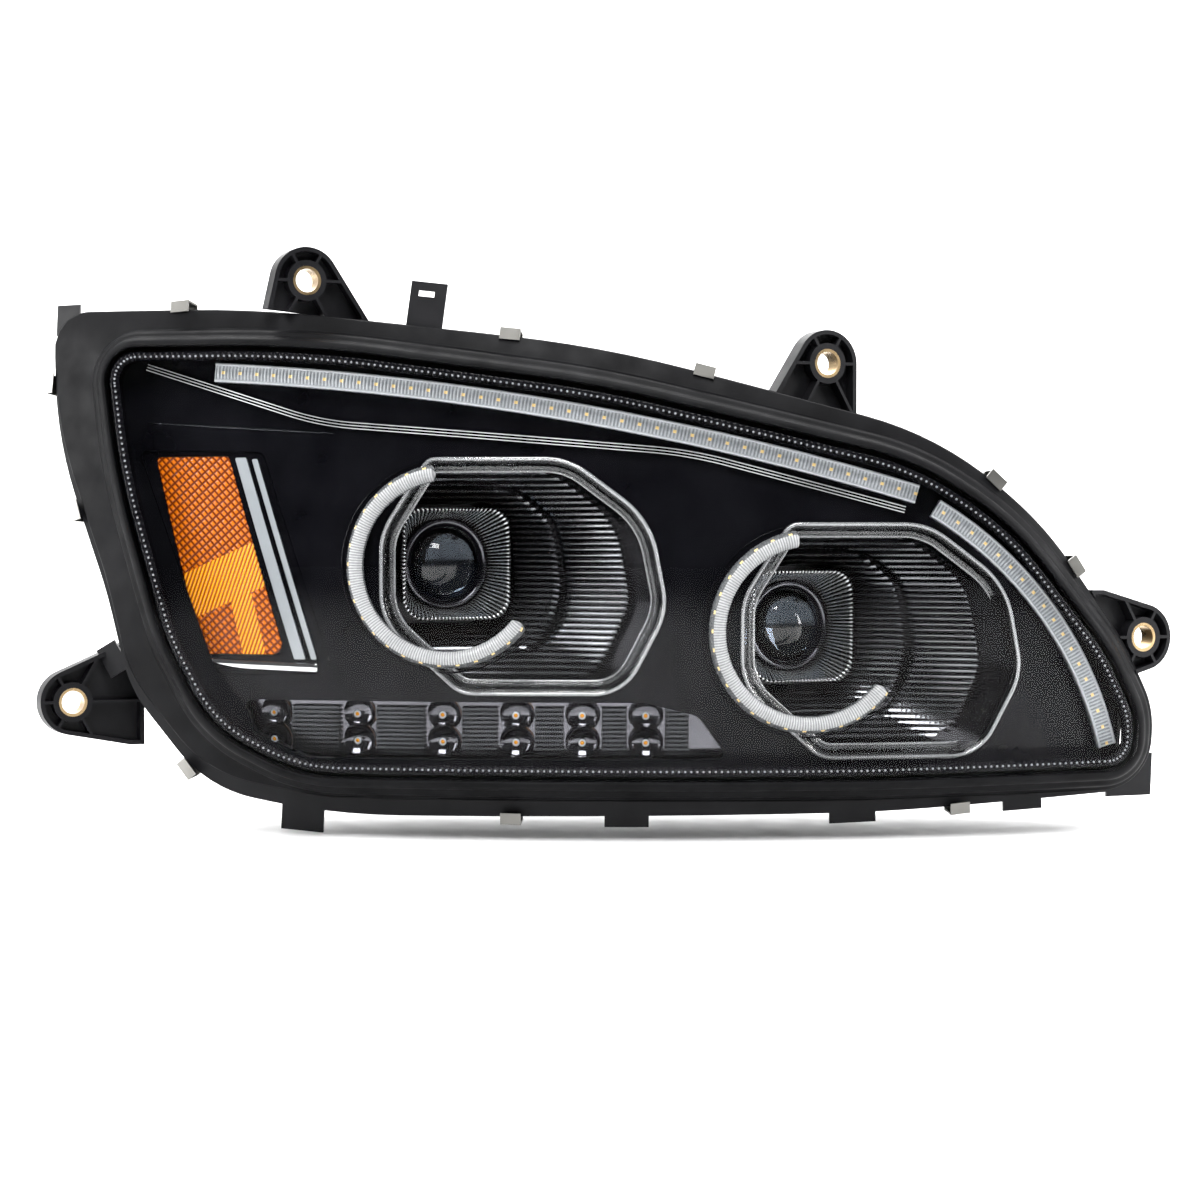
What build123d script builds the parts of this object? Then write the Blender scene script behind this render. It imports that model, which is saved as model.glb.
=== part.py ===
from build123d import *
from math import asin, cos, degrees, radians, sin, sqrt
import os

os.makedirs("parts", exist_ok=True)

# Truck headlight, millimetres. X points inboard, -Y straight ahead, Z up.
# The origin is the middle of the bush in the upper outboard ear.

# ---- the curved face ----
# The face looks 25 degrees outboard of straight ahead. Its own axes are u (inboard), v (up)
# and w (out towards the viewer); its skin is a slice of one large ball.
FACE_TURN = 25
FACE_RADIUS = 900
BALL_U = 30
BALL_V = 20

# Bush centres in face axes (u, v, w).
BUSH_SPOTS = {
    "upper_outboard": (-203, 217, -75),
    "upper_inboard": (154, 161, -85),
    "inboard": (375, -28, -100),
    "lower_outboard": (-371, -74, -110),
}

X_FACE = Vector(cos(radians(FACE_TURN)), -sin(radians(FACE_TURN)), 0)
Z_FACE = Vector(-sin(radians(FACE_TURN)), -cos(radians(FACE_TURN)), 0)
FACE_AT_ZERO = Plane(origin=(0, 0, 0), x_dir=X_FACE, z_dir=Z_FACE)
FACE = Plane(
    origin=FACE_AT_ZERO.from_local_coords(Vector(*BUSH_SPOTS["upper_outboard"])) * -1,
    x_dir=X_FACE,
    z_dir=Z_FACE,
)
BALL_CENTRE = FACE.from_local_coords(Vector(BALL_U, BALL_V, -FACE_RADIUS))

# Prisms through the face start in front of it and reach behind the back wall.
FRONT_W = 60
THROUGH = 330

# ---- outlines on the face: u, v, corner radius ----
RIM = [
    (-389, 202, 25), (-240, 199, 900), (0, 170, 900), (232, 110, 240), (304, 50, 250),
    (363, -30, 180), (386, -85, 60), (384, -135, 22), (190, -146, 1500), (-184, -149, 500),
    (-273, -133, 90), (-329, -65, 90), (-346, 4, 300), (-387, 117, 300),
]
LENS = [
    (-347, 173, 22), (-203, 171, 900), (0, 142, 900), (212, 92, 200), (278, 50, 220),
    (348, -36, 160), (371, -81, 50), (370, -119, 20), (180, -122, 1500), (-205, -121, 120),
    (-268, -90, 90), (-300, -30, 150), (-334, 85, 500),
]
POD_OPENING = [
    (-14, 74, 12), (82, 74, 50), (138, 32, 60), (150, -30, 45), (120, -88, 35), (8, -88, 25),
    (-47, -38, 45), (-47, 22, 45),
]
POD_THROAT = [
    (-28, 44, 14), (28, 44, 14), (44, 28, 14), (44, -28, 14), (28, -44, 14), (-28, -44, 14),
    (-44, -28, 14), (-44, 28, 14),
]
SIDE_POCKET = [(-322, 102, 4), (-231, 100, 6), (-181, -52, 10), (-264, -54, 8)]
SIDE_REFLECTOR = [(-309, 97, 3), (-256, 97, 3), (-216, -39, 7), (-275, -39, 4)]
TURN_WINDOW = [
    (-246, -70, 5), (30, -70, 12), (66, -79, 12), (88, -109, 4), (-200, -110, 20), (-238, -93, 10),
]
EYEBROW = [(-316, 160), (-190, 119), (60, 98), (206, 60)]
EYEBROW_BENDS = [200, 300]
LONG_BAR = [(-265, 155), (0, 122), (214, 70.5)]
SWEPT_BAR = [(227, 61), (303, -5), (352, -103)]
BAR_WIDTH = 13
EYEBROW_WIDTH = 6

# ---- how deep things lie below the skin of the face ----
LENS_WALL = 3
LENS_FOOT = 24
FLANGE_FRONT = 26
FLANGE_BACK = 30
BEZEL_FRONT = 27
BEZEL_BACK = 30
BEZEL_GAP = 0.3
GASKET_FLAT = 20
GASKET_RIDGE = 11
GASKET_LIP = 3
GASKET_LIFT = 11
GASKET_REAR_GAP = 0.2
LIP_REAR_GAP = 2.2
GUIDE_FRONT = 18
GUIDE_BACK = 33
STRIP_FRONT = 33.5
STRIP_BACK = 35
EYEBROW_FRONT = 22
ACCENT_FRONT = 27.2
ACCENT_BACK = 34

# ---- how far edges stand in from, or out past, an outline ----
SEAL_OUT = 2
SEAL_IN = 4
SEAL_GAP = 0.1
GASKET_IN = 0.5
GASKET_HOLE_OUT = 4
RIDGE_OUT = 12
LIP_OUT = 7
LIP_GAP = 0.4
FLANGE_IN = 5
BEZEL_IN = 6.5
BEZEL_WALL_IN = 8.5
BEZEL_WALL_FRONT = 9
GUIDE_GAP = 0.4
ACCENT_GAP = 0.4
ACCENT_IN = 5.5

# ---- housing tub ----
TUB_WALL = 3
TUB_MOUTH_W = 20
TUB_BACK_W = -205
TUB_BACK_SCALE = 0.88
TUB_CENTRE_U = 60
SLOPE_START = (-240, -205)
SLOPE_END = (-340, -165)

# ---- the two beam units, lens tip in face axes and halo centre on the face ----
PODS = {
    "low_beam": ((-104, 23, -85), (-103, 22)),
    "high_beam": ((134, -20, -90), (141, -22)),
}
PIVOT_RISE = 58
PIVOT_BACK = 43
SCREW_DROP = 70
COLLAR_RADIUS = 56
COLLAR_WALL = 3.5
COLLAR_END = 176
COLLAR_LENGTH = 90
COLLAR_CUT = 80


def outline(corners, grow=0.0, scale=1.0, centre=(0, 0)):
    """Adds a face with rounded corners to the sketch, grown by that much."""
    spots = [(centre[0] + scale * u, centre[1] + scale * v) for u, v, _ in corners]
    with BuildLine() as edge:
        FilletPolyline(*spots, radius=[scale * r for _, _, r in corners], close=True)
    make_face(edge.edges())
    if grow:
        offset(amount=grow)


def keep_between(front, back):
    """Keeps the part between two depths below the skin."""
    with Locations(BALL_CENTRE):
        Sphere(FACE_RADIUS - front, mode=Mode.INTERSECT)
        Sphere(FACE_RADIUS - back, mode=Mode.SUBTRACT)


def skin(u, v, depth, turn=0):
    """Plane lying on the face at (u, v), at a depth, its x turned anticlockwise."""
    reach = FACE_RADIUS - depth
    w = sqrt(reach**2 - (u - BALL_U) ** 2 - (v - BALL_V) ** 2) - FACE_RADIUS
    origin = FACE.from_local_coords(Vector(u, v, w))
    tip = FACE.from_local_coords(Vector(u + cos(radians(turn)), v + sin(radians(turn)), w))
    return Plane(origin=origin, x_dir=tip - origin, z_dir=origin - BALL_CENTRE)


def ahead(spot, back=0.0):
    """Plane that looks straight ahead, a distance behind a point; x inboard, y up."""
    return Plane(origin=spot + Vector(0, back, 0), x_dir=(1, 0, 0), z_dir=(0, -1, 0))


def lathe_plane(spot):
    """Plane for a turned profile: x is the radius and y the distance behind the point."""
    return Plane(origin=spot, x_dir=(1, 0, 0), z_dir=(0, 0, 1))


def lathe_axis(spot):
    return Axis(spot, (0, 1, 0))


def save(part, name):
    part.label = name
    export_step(part, f"parts/{name}.step")


def slab(corners, grow, front, back, holes=(), centre=(0, 0)):
    """A curved sheet of the face between two depths, less holes of (corners, grow, centre)."""
    with BuildPart() as sheet:
        with BuildSketch(FACE.offset(FRONT_W)):
            outline(corners, grow, centre=centre)
        extrude(amount=-THROUGH)
        for hole_corners, hole_grow, hole_centre in holes:
            with BuildSketch(FACE.offset(FRONT_W)):
                outline(hole_corners, hole_grow, centre=hole_centre)
            extrude(amount=-THROUGH, mode=Mode.SUBTRACT)
        keep_between(front, back)
    return sheet.part


def bar(points, width, front, back, grow=0.0):
    """A curved strip of the face along an arc through three points."""
    with BuildPart() as strip:
        with BuildSketch(FACE.offset(FRONT_W)):
            with BuildLine() as run:
                ThreePointArc(*points)
            trace(run.edges(), line_width=width)
            if grow:
                offset(amount=grow)
        extrude(amount=-THROUGH)
        keep_between(front, back)
    return strip.part


def tub(inset, back_w, slope_shift):
    """Solid of the tub, or of its hollow when inset by the wall."""
    with BuildPart() as solid:
        with BuildSketch(FACE.offset(TUB_MOUTH_W)):
            outline(RIM, -inset)
        with BuildSketch(FACE.offset(back_w)):
            outline(RIM, -inset, TUB_BACK_SCALE, ((1 - TUB_BACK_SCALE) * TUB_CENTRE_U, 0))
        loft(ruled=True)
        # the outboard corner of the back is cut off at a slope
        start = FACE.from_local_coords(Vector(SLOPE_START[0], 0, SLOPE_START[1] + slope_shift))
        end = FACE.from_local_coords(Vector(SLOPE_END[0], 0, SLOPE_END[1] + slope_shift))
        run = end - start
        split(bisect_by=Plane(origin=start, x_dir=run, z_dir=run.cross(Vector(0, 0, 1))), keep=Keep.BOTTOM)
    return solid.part


tub_outside = tub(0, TUB_BACK_W, 0)
tub_hollow = tub(TUB_WALL, TUB_BACK_W + TUB_WALL, TUB_WALL)
bushes = {name: FACE.from_local_coords(Vector(*spot)) for name, spot in BUSH_SPOTS.items()}
lens_tips = {beam: FACE.from_local_coords(Vector(*spot)) for beam, (spot, _) in PODS.items()}
halo_centres = {beam: centre for beam, (_, centre) in PODS.items()}


# ---- shell of the lamp ----

def outer_lens():
    """Clear moulding with a foot all round that stands in the seal."""
    with BuildPart() as clear:
        add(slab(LENS, 0, 0, LENS_WALL))
        add(slab(LENS, 0, 0, LENS_FOOT, [(LENS, -LENS_WALL, (0, 0))]))
    return clear.part


def lens_seal():
    return slab(
        LENS, SEAL_OUT, LENS_FOOT + SEAL_GAP, FLANGE_FRONT - SEAL_GAP, [(LENS, -SEAL_IN, (0, 0))]
    )


def gasket():
    """Rubber rim: flat flange, ridge and lip; it stops short of the housing's lower edge."""
    rear = FLANGE_FRONT - GASKET_REAR_GAP
    hole = [(LENS, GASKET_HOLE_OUT, (0, 0))]
    with BuildPart() as rubber:
        add(slab(RIM, -GASKET_IN, GASKET_FLAT, rear, hole))
        add(slab(LENS, RIDGE_OUT, GASKET_RIDGE, rear, hole))
        add(slab(LENS, LIP_OUT, GASKET_LIP, FLANGE_FRONT - LIP_REAR_GAP, [(LENS, LIP_GAP, (0, 0))]))
        with BuildSketch(FACE.offset(FRONT_W)):
            outline(RIM, -GASKET_IN, centre=(0, GASKET_LIFT))
        extrude(amount=-THROUGH, mode=Mode.INTERSECT)
    return rubber.part


# Tabs that stand out past the rim: u, v, length along the rim, height, turn.
TABS = [
    (-118, 197, 25, 36, -7), (-379, 196, 18, 22, 0), (-342, -44, 16, 22, 30), (-205, -152, 30, 18, -4),
    (18, -149, 30, 12, 0), (172, -147, 32, 12, 2), (292, -141, 28, 12, 3), (371, -125, 34, 30, 0),
]
TAB_SLOT = (-118, 207, 11, 4)


def flange():
    """Plate round the mouth of the tub, with its locating tabs."""
    with BuildPart() as plate:
        with BuildSketch(FACE.offset(FRONT_W)):
            outline(RIM)
            for u, v, length, height, turn in TABS:
                with Locations(Location((u, v), turn)):
                    Rectangle(length, height)
            with Locations(Location(TAB_SLOT[:2], TABS[0][4])):
                Rectangle(*TAB_SLOT[2:], mode=Mode.SUBTRACT)
        extrude(amount=-THROUGH)
        with BuildSketch(FACE.offset(FRONT_W)):
            outline(LENS, -FLANGE_IN)
        extrude(amount=-THROUGH, mode=Mode.SUBTRACT)
        keep_between(FLANGE_FRONT, FLANGE_BACK)
    return plate.part


rim_flange = flange()


def collar(tip):
    """Round neck on the back wall that a rubber boot closes."""
    with BuildPart() as neck:
        with BuildSketch(ahead(tip, COLLAR_END)):
            Circle(COLLAR_RADIUS)
        extrude(amount=COLLAR_LENGTH)
        add(tub_hollow, mode=Mode.SUBTRACT)
    return neck.part


def housing():
    with BuildPart() as shell:
        add(tub_outside)
        with Locations(BALL_CENTRE):
            Sphere(FACE_RADIUS - FLANGE_BACK + 1, mode=Mode.INTERSECT)
        add(tub_hollow, mode=Mode.SUBTRACT)
        add(rim_flange)
        for tip in lens_tips.values():
            add(collar(tip))
            with BuildSketch(ahead(tip, COLLAR_END)):
                Circle(COLLAR_RADIUS - COLLAR_WALL)
            extrude(amount=COLLAR_CUT, mode=Mode.SUBTRACT)
            with BuildSketch(ahead(tip + Vector(0, 0, -SCREW_DROP), COLLAR_END)):
                Circle(GEARCASE_RADIUS + GEARCASE_GAP)
            extrude(amount=COLLAR_CUT, mode=Mode.SUBTRACT)
    return shell.part


# ---- mounting ears and their bushes ----
EAR_RADIUS = 23
EAR_DEPTH = 13
BUSH_RADIUS = 10
BUSH_BORE = 8
EAR_FLOOR = 4
EAR_WALL = 3
EAR_BOSS = 14
EAR_RIBS = 6
EAR_RIB_THICKNESS = 2
EAR_GAP = 0.2

# Foot of each ear, seen from straight ahead: x and z from the bush, then width and height.
EAR_FEET = {
    "upper_outboard": (10, -42, 84, 10),
    "upper_inboard": (-14, -42, 74, 10),
    "inboard": (-38, 0, 10, 66),
    "lower_outboard": (46, 6, 10, 74),
}


def ear_face(foot, grow=0.0):
    """Adds the outline of an ear: a round eye drawn out to its foot."""
    Circle(EAR_RADIUS)
    with Locations(foot[:2]):
        Rectangle(*foot[2:])
    make_hull()
    if grow:
        offset(amount=grow)


def ear(bush, foot):
    """Ribbed ear that ends flat against the rim, notched where a tab lies over it."""
    with BuildPart() as lug:
        with BuildSketch(ahead(bush, EAR_DEPTH / 2)):
            ear_face(foot)
        extrude(amount=EAR_DEPTH)
        with BuildSketch(ahead(bush, EAR_DEPTH / 2 - EAR_FLOOR)):
            ear_face(foot, -EAR_WALL)
            Circle(EAR_BOSS, mode=Mode.SUBTRACT)
            with PolarLocations(0, EAR_RIBS):
                Rectangle(160, EAR_RIB_THICKNESS, mode=Mode.SUBTRACT)
        extrude(amount=EAR_DEPTH, mode=Mode.SUBTRACT)
        with BuildSketch(ahead(bush, EAR_DEPTH)):
            Circle(BUSH_RADIUS)
        extrude(amount=2 * EAR_DEPTH, mode=Mode.SUBTRACT)
        with BuildSketch(FACE.offset(FRONT_W)):
            outline(RIM, EAR_GAP)
        extrude(amount=-THROUGH, mode=Mode.SUBTRACT)
        add(rim_flange, mode=Mode.SUBTRACT)
    return lug.part


def mount_bushes():
    with BuildPart() as tubes:
        for bush in bushes.values():
            with BuildSketch(ahead(bush, EAR_DEPTH / 2)):
                Circle(BUSH_RADIUS)
                Circle(BUSH_BORE, mode=Mode.SUBTRACT)
            extrude(amount=EAR_DEPTH)
    return tubes.part


# ---- spring clips over the rim: u, v, turn of the edge ----
CLIP_SPOTS = [
    (-290, 200.7, -1), (-60, 177.3, -7), (70, 151.9, -14), (268, 80, -40), (325, 21.5, -53.5),
    (245, -142.9, -177), (-60, -148, -180), (-285, -118.4, 129), (-366.5, 60, 110), (-388.2, 150, 90),
]
CLIP_DEPTH = 25
# Each box is (length along the rim, reach inwards, height), with (reach, height) of its middle.
CLIP_BLOCK = (14, 8, 13)
CLIP_HOLLOW = (15, 8.2, 11)
CLIP_HOLLOW_AT = (-1.5, 0)
CLIP_SHORT_LEG = (15, 4, 2)
CLIP_SHORT_LEG_AT = (-3.8, -6)


def spring_clips():
    """Steel channels that grip gasket and flange together."""
    with BuildPart() as clips:
        for u, v, turn in CLIP_SPOTS:
            with Locations(skin(u, v, CLIP_DEPTH, turn)):
                Box(*CLIP_BLOCK)
                with Locations((0, *CLIP_HOLLOW_AT)):
                    Box(*CLIP_HOLLOW, mode=Mode.SUBTRACT)
                with Locations((0, *CLIP_SHORT_LEG_AT)):
                    Box(*CLIP_SHORT_LEG, mode=Mode.SUBTRACT)
    return clips.part


# ---- face of the lamp behind the lens ----

def bezel():
    """Gloss panel with a window for each lamp and a thin wall round its edge."""
    windows = [(POD_OPENING, 0, centre) for centre in halo_centres.values()]
    windows += [(SIDE_POCKET, 0, (0, 0)), (TURN_WINDOW, 0, (0, 0))]
    with BuildPart() as panel:
        add(slab(LENS, -BEZEL_IN, BEZEL_FRONT, BEZEL_BACK, windows))
        for points in (LONG_BAR, SWEPT_BAR):
            slot = bar(points, BAR_WIDTH, BEZEL_FRONT - 1, BEZEL_BACK + 1, grow=GUIDE_GAP)
            add(slot, mode=Mode.SUBTRACT)
        add(slab(LENS, -BEZEL_IN, BEZEL_WALL_FRONT, BEZEL_BACK, [(LENS, -BEZEL_WALL_IN, (0, 0))]))
        add(tub(TUB_WALL + BEZEL_GAP, TUB_BACK_W + TUB_WALL, TUB_WALL), mode=Mode.INTERSECT)
    return panel.part


def led_strips():
    """Boards behind both daytime light guides."""
    with BuildPart() as strips:
        add(bar(LONG_BAR, BAR_WIDTH, STRIP_FRONT, STRIP_BACK))
        add(bar(SWEPT_BAR, BAR_WIDTH, STRIP_FRONT, STRIP_BACK))
    return strips.part


def eyebrow_trim():
    with BuildPart() as trim:
        with BuildSketch(FACE.offset(FRONT_W)):
            with BuildLine() as run:
                FilletPolyline(*EYEBROW, radius=EYEBROW_BENDS)
            trace(run.edges(), line_width=EYEBROW_WIDTH)
        extrude(amount=-THROUGH)
        keep_between(EYEBROW_FRONT, BEZEL_FRONT - 0.1)
    return trim.part


def accent_ring(centre):
    """Clear frame let into the mouth of a pod."""
    hole = [(POD_OPENING, -ACCENT_IN, centre)]
    return slab(POD_OPENING, -ACCENT_GAP, ACCENT_FRONT, ACCENT_BACK, hole, centre)


HALO_RADIUS = 63
HALO_TUBE = 6
HALO_DEPTH = 20.7
HALO_START = 97
HALO_SWEEP = 226


def halo(centre):
    """C-shaped light guide, open towards the inboard side."""
    with BuildPart() as guide:
        with BuildLine(skin(*centre, HALO_DEPTH)) as run:
            CenterArc((0, 0), HALO_RADIUS, HALO_START, HALO_SWEEP)
        with BuildSketch(Plane(origin=run.line @ 0, z_dir=run.line % 0)):
            Circle(HALO_TUBE)
        sweep()
    return guide.part


# The pocket's mouth lies on a plane that touches the face beside the halo's centre.
MOUTH_SHIFT = (54, -7)
MOUTH_DEPTH = 39
POCKET_FRONT = 34.3
POCKET_WALL = 2
POCKET_GAP = 0.6
MOUTH_REACH = 12
THROAT_BACK = 22
RIB_REACH = 4.5
RIB_PITCH = 6
RIB_THICKNESS = 1.2
RIB_COUNT = 31
RIB_MIDDLE = (50, -8)
RIB_LENGTH = 260
RIB_DEPTH = 120


def pocket_funnel(tip, centre, inset, beyond=0.0):
    """Solid funnel from the mouth of a pod to its square throat."""
    mouth = skin(centre[0] + MOUTH_SHIFT[0], centre[1] + MOUTH_SHIFT[1], MOUTH_DEPTH)
    shift = (-MOUTH_SHIFT[0], -MOUTH_SHIFT[1])
    with BuildPart() as funnel:
        with BuildSketch(mouth):
            outline(POD_OPENING, -POCKET_GAP - inset, centre=shift)
        with BuildSketch(ahead(tip, THROAT_BACK + beyond)):
            outline(POD_THROAT, POCKET_WALL - inset)
        loft(ruled=True)
        with BuildSketch(mouth):
            outline(POD_OPENING, -POCKET_GAP - inset, centre=shift)
        extrude(amount=MOUTH_REACH)
    return funnel.part


def pocket(tip, centre):
    """Reflector pocket with level ribs along its walls."""
    with BuildPart() as ribs:
        with BuildSketch(ahead(tip, THROAT_BACK)):
            with Locations(RIB_MIDDLE):
                with GridLocations(0, RIB_PITCH, 1, RIB_COUNT):
                    Rectangle(RIB_LENGTH, RIB_THICKNESS)
        extrude(amount=RIB_DEPTH)
        add(pocket_funnel(tip, centre, POCKET_WALL / 2), mode=Mode.INTERSECT)
        add(pocket_funnel(tip, centre, RIB_REACH, 1), mode=Mode.SUBTRACT)
    with BuildPart() as cup:
        add(pocket_funnel(tip, centre, 0))
        add(pocket_funnel(tip, centre, POCKET_WALL, 1), mode=Mode.SUBTRACT)
        add(ribs.part)
        with Locations(BALL_CENTRE):
            Sphere(FACE_RADIUS - POCKET_FRONT, mode=Mode.INTERSECT)
    return cup.part


# ---- side reflector and light pipes ----
PIPE_WIDE = [(-251, 96, 1), (-243, 96, 1), (-201, -42, 1), (-209, -42, 1)]
PIPE_NARROW = [(-239, 95, 1), (-235, 95, 1), (-193, -42, 1), (-197, -42, 1)]
PIPE_FRONT = 26.5
PIPE_GAP = 0.4
SIDE_FRONT = 29
SIDE_BACK = 46
SIDE_GAP = 0.5
REFLECTOR_FRONT = 30
REFLECTOR_BACK = 37
REFLECTOR_GAP = 0.6
MARKER_BOARD_FRONT = 46.5
MARKER_BOARD_BACK = 48
MARKER_BOARD_IN = 3


def side_pocket():
    holes = [(SIDE_REFLECTOR, REFLECTOR_GAP, (0, 0))]
    holes += [(pipe, PIPE_GAP, (0, 0)) for pipe in (PIPE_WIDE, PIPE_NARROW)]
    return slab(SIDE_POCKET, -SIDE_GAP, SIDE_FRONT, SIDE_BACK, holes)


def side_light_pipes():
    with BuildPart() as pipes:
        add(slab(PIPE_WIDE, 0, PIPE_FRONT, SIDE_BACK))
        add(slab(PIPE_NARROW, 0, PIPE_FRONT, SIDE_BACK))
    return pipes.part


# ---- turn signal: two rows of six bowls ----
TURN_COLUMNS = [-225, -166, -107, -57, -12, 31]
TURN_ROWS = [-79.5, -98]
BOWL_RADIUS = 15
BOWL_CENTRE_DEPTH = 28
BOWL_HALF = 13
TRAY_GAP = 0.5
TRAY_FRONT = 37
TRAY_BACK = 50
LED_RADIUS = 2.4
LED_GAP = 0.2
LED_LENGTH = 8
LED_DEPTH = 46
TURN_BOARD_IN = 2
TURN_BOARD_FRONT = 50.3
TURN_BOARD_BACK = 51.9

# Ribbed plates between the bowls: ribs in front of a thin backing.
PLATE_RIB = 1.4
PLATE_PITCH = 3
PLATE_RIBS = 11
PLATE_LOWEST = -105
PLATE_MIDDLE = -90
PLATE_HEIGHT = 31
LAST_PLATE_SPAN = 42
PLATE_RIB_DEPTHS = (32, 35.6)
PLATE_BACKING_DEPTHS = (35.5, 36.7)


def turn_reflectors():
    """Tray of bright bowls with a hole at the bottom of each."""
    with BuildPart() as tray:
        add(slab(TURN_WINDOW, -TRAY_GAP, TRAY_FRONT, TRAY_BACK))
        for u in TURN_COLUMNS:
            for v in TURN_ROWS:
                with Locations(skin(u, v, BOWL_CENTRE_DEPTH)):
                    Sphere(BOWL_RADIUS, mode=Mode.SUBTRACT)
                with Locations(skin(u, v, LED_DEPTH)):
                    Cylinder(LED_RADIUS + LED_GAP, 20, mode=Mode.SUBTRACT)
    return tray.part


def turn_leds():
    with BuildPart() as chips:
        for u in TURN_COLUMNS:
            for v in TURN_ROWS:
                with Locations(skin(u, v, LED_DEPTH)):
                    Cylinder(LED_RADIUS, LED_LENGTH)
    return chips.part


def turn_rib_plates():
    """Level ribs on a thin backing, one plate between each two columns of bowls."""
    ends = TURN_COLUMNS[1:] + [TURN_COLUMNS[-1] + LAST_PLATE_SPAN]
    gaps = [(left + BOWL_HALF, right - BOWL_HALF) for left, right in zip(TURN_COLUMNS, ends)]
    with BuildPart() as plates:
        with BuildSketch(FACE.offset(FRONT_W)):
            for left, right in gaps:
                for level in range(PLATE_RIBS):
                    with Locations(((left + right) / 2, PLATE_LOWEST + level * PLATE_PITCH)):
                        Rectangle(right - left, PLATE_RIB)
        extrude(amount=-THROUGH)
        keep_between(*PLATE_RIB_DEPTHS)
    with BuildPart() as backing:
        with BuildSketch(FACE.offset(FRONT_W)):
            for left, right in gaps:
                with Locations(((left + right) / 2, PLATE_MIDDLE)):
                    Rectangle(right - left, PLATE_HEIGHT)
        extrude(amount=-THROUGH)
        keep_between(*PLATE_BACKING_DEPTHS)
        add(plates.part)
    return backing.part


# ---- beam units; distances run back from the tip of the lens ----
LENS_DOME = 34
LENS_CLEAR = 25
LENS_RIM = 27
LENS_BACK = 16
BODY_RADIUS = 34
SCREW_CIRCLE = 38
PLATE_BACK = 46
PLATE_THICKNESS = 6
PLATE_SIDE = 104


def turned(tip, profile):
    """Solid of revolution about the optical axis from (radius, distance back) points."""
    with BuildPart() as solid:
        with BuildSketch(lathe_plane(tip)):
            with BuildLine() as edge:
                Polyline(*profile, close=True)
            make_face(edge.edges())
        revolve(axis=lathe_axis(tip))
    return solid.part


def projector_lens(tip):
    """Thick lens, domed in front and flat behind, with a narrow seat round it."""
    dome_angle = degrees(asin(LENS_CLEAR / LENS_DOME))
    with BuildPart() as glass:
        with BuildSketch(lathe_plane(tip)):
            with BuildLine() as edge:
                dome = CenterArc((0, LENS_DOME), LENS_DOME, -90, dome_angle)
                shoulder = (dome @ 1).Y
                Polyline(dome @ 1, (LENS_RIM, shoulder), (LENS_RIM, LENS_BACK), (0, LENS_BACK), (0, 0))
            make_face(edge.edges())
        revolve(axis=lathe_axis(tip))
    return glass.part


# Profiles from the axis outwards: (radius, distance behind the lens tip).
HOLDER_PROFILE = [
    (25.7, 7.5), (31.3, 7.5), (31.3, 18.2), (24.5, 18.2), (24.5, 16.2), (27.15, 16.2), (27.15, 10.7),
    (25.7, 10.7),
]
BODY_PROFILE = [
    (31.5, 18.4), (34, 24), (34, 46.2), (42, 46.2), (42, 49), (32, 49), (26, 66), (0, 66), (0, 63.5),
    (23.8, 63.5), (29.5, 48), (31.2, 46), (31.2, 24), (29, 18.4),
]


def lens_holder(tip):
    return turned(tip, HOLDER_PROFILE)


def projector_body(tip):
    return turned(tip, BODY_PROFILE)


SHIELD_RADIUS = 28.8
SHIELD_BACK = 21.5
SHIELD_THICKNESS = 1.5


def cutoff_shield(tip):
    """Half disc that cuts the lower beam off level."""
    with BuildPart() as plate:
        with BuildSketch(ahead(tip, SHIELD_BACK)):
            Circle(SHIELD_RADIUS)
            with Locations((0, 30)):
                Rectangle(60, 60, mode=Mode.SUBTRACT)
        extrude(amount=SHIELD_THICKNESS)
    return plate.part


BOARD_BLOCK = (32, 1.6, 32)
BOARD_BACK = 62.6
EMITTER_BLOCK = (10, 1.8, 4)
EMITTER_BACK = 61


def led_board(tip):
    with BuildPart() as board:
        with Locations(tip + Vector(0, BOARD_BACK, 0)):
            Box(*BOARD_BLOCK)
        with Locations(tip + Vector(0, EMITTER_BACK, 0)):
            Box(*EMITTER_BLOCK)
    return board.part


SINK_SIDE = 62
SINK_PLATE = 5
SINK_PLATE_BACK = 68.7
FIN_COUNT = 9
FIN_PITCH = 7.5
FIN_THICKNESS = 2
FIN_FRONT = 71
FIN_BACK = 104


def heat_sink(tip):
    middle = (FIN_FRONT + FIN_BACK) / 2
    with BuildPart() as sink:
        with Locations(tip + Vector(0, SINK_PLATE_BACK, 0)):
            Box(SINK_SIDE, SINK_PLATE, SINK_SIDE)
        for fin in range(FIN_COUNT):
            across = (fin - (FIN_COUNT - 1) / 2) * FIN_PITCH
            with Locations(tip + Vector(across, middle, 0)):
                Box(FIN_THICKNESS, FIN_BACK - FIN_FRONT, SINK_SIDE)
    return sink.part


SCREW_HEAD_RADIUS = 3.4
SCREW_HEAD_HEIGHT = 2.4
SCREW_HEAD_BACK = 51.5


def module_screws(tip):
    with BuildPart() as screws:
        with BuildSketch(ahead(tip, SCREW_HEAD_BACK)):
            with PolarLocations(SCREW_CIRCLE, 4, start_angle=45):
                Circle(SCREW_HEAD_RADIUS)
        extrude(amount=SCREW_HEAD_HEIGHT)
    return screws.part


SHROUD_FRONT = -14
SHROUD_REAR = 12
# Squares with rounded corners at both ends of the flare: width, height, corner radius.
SHROUD_MOUTH = (80, 78, 16)
SHROUD_THROAT = (66, 66, 32.5)
SHROUD_WALL = (1.6, 1.4)


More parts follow.
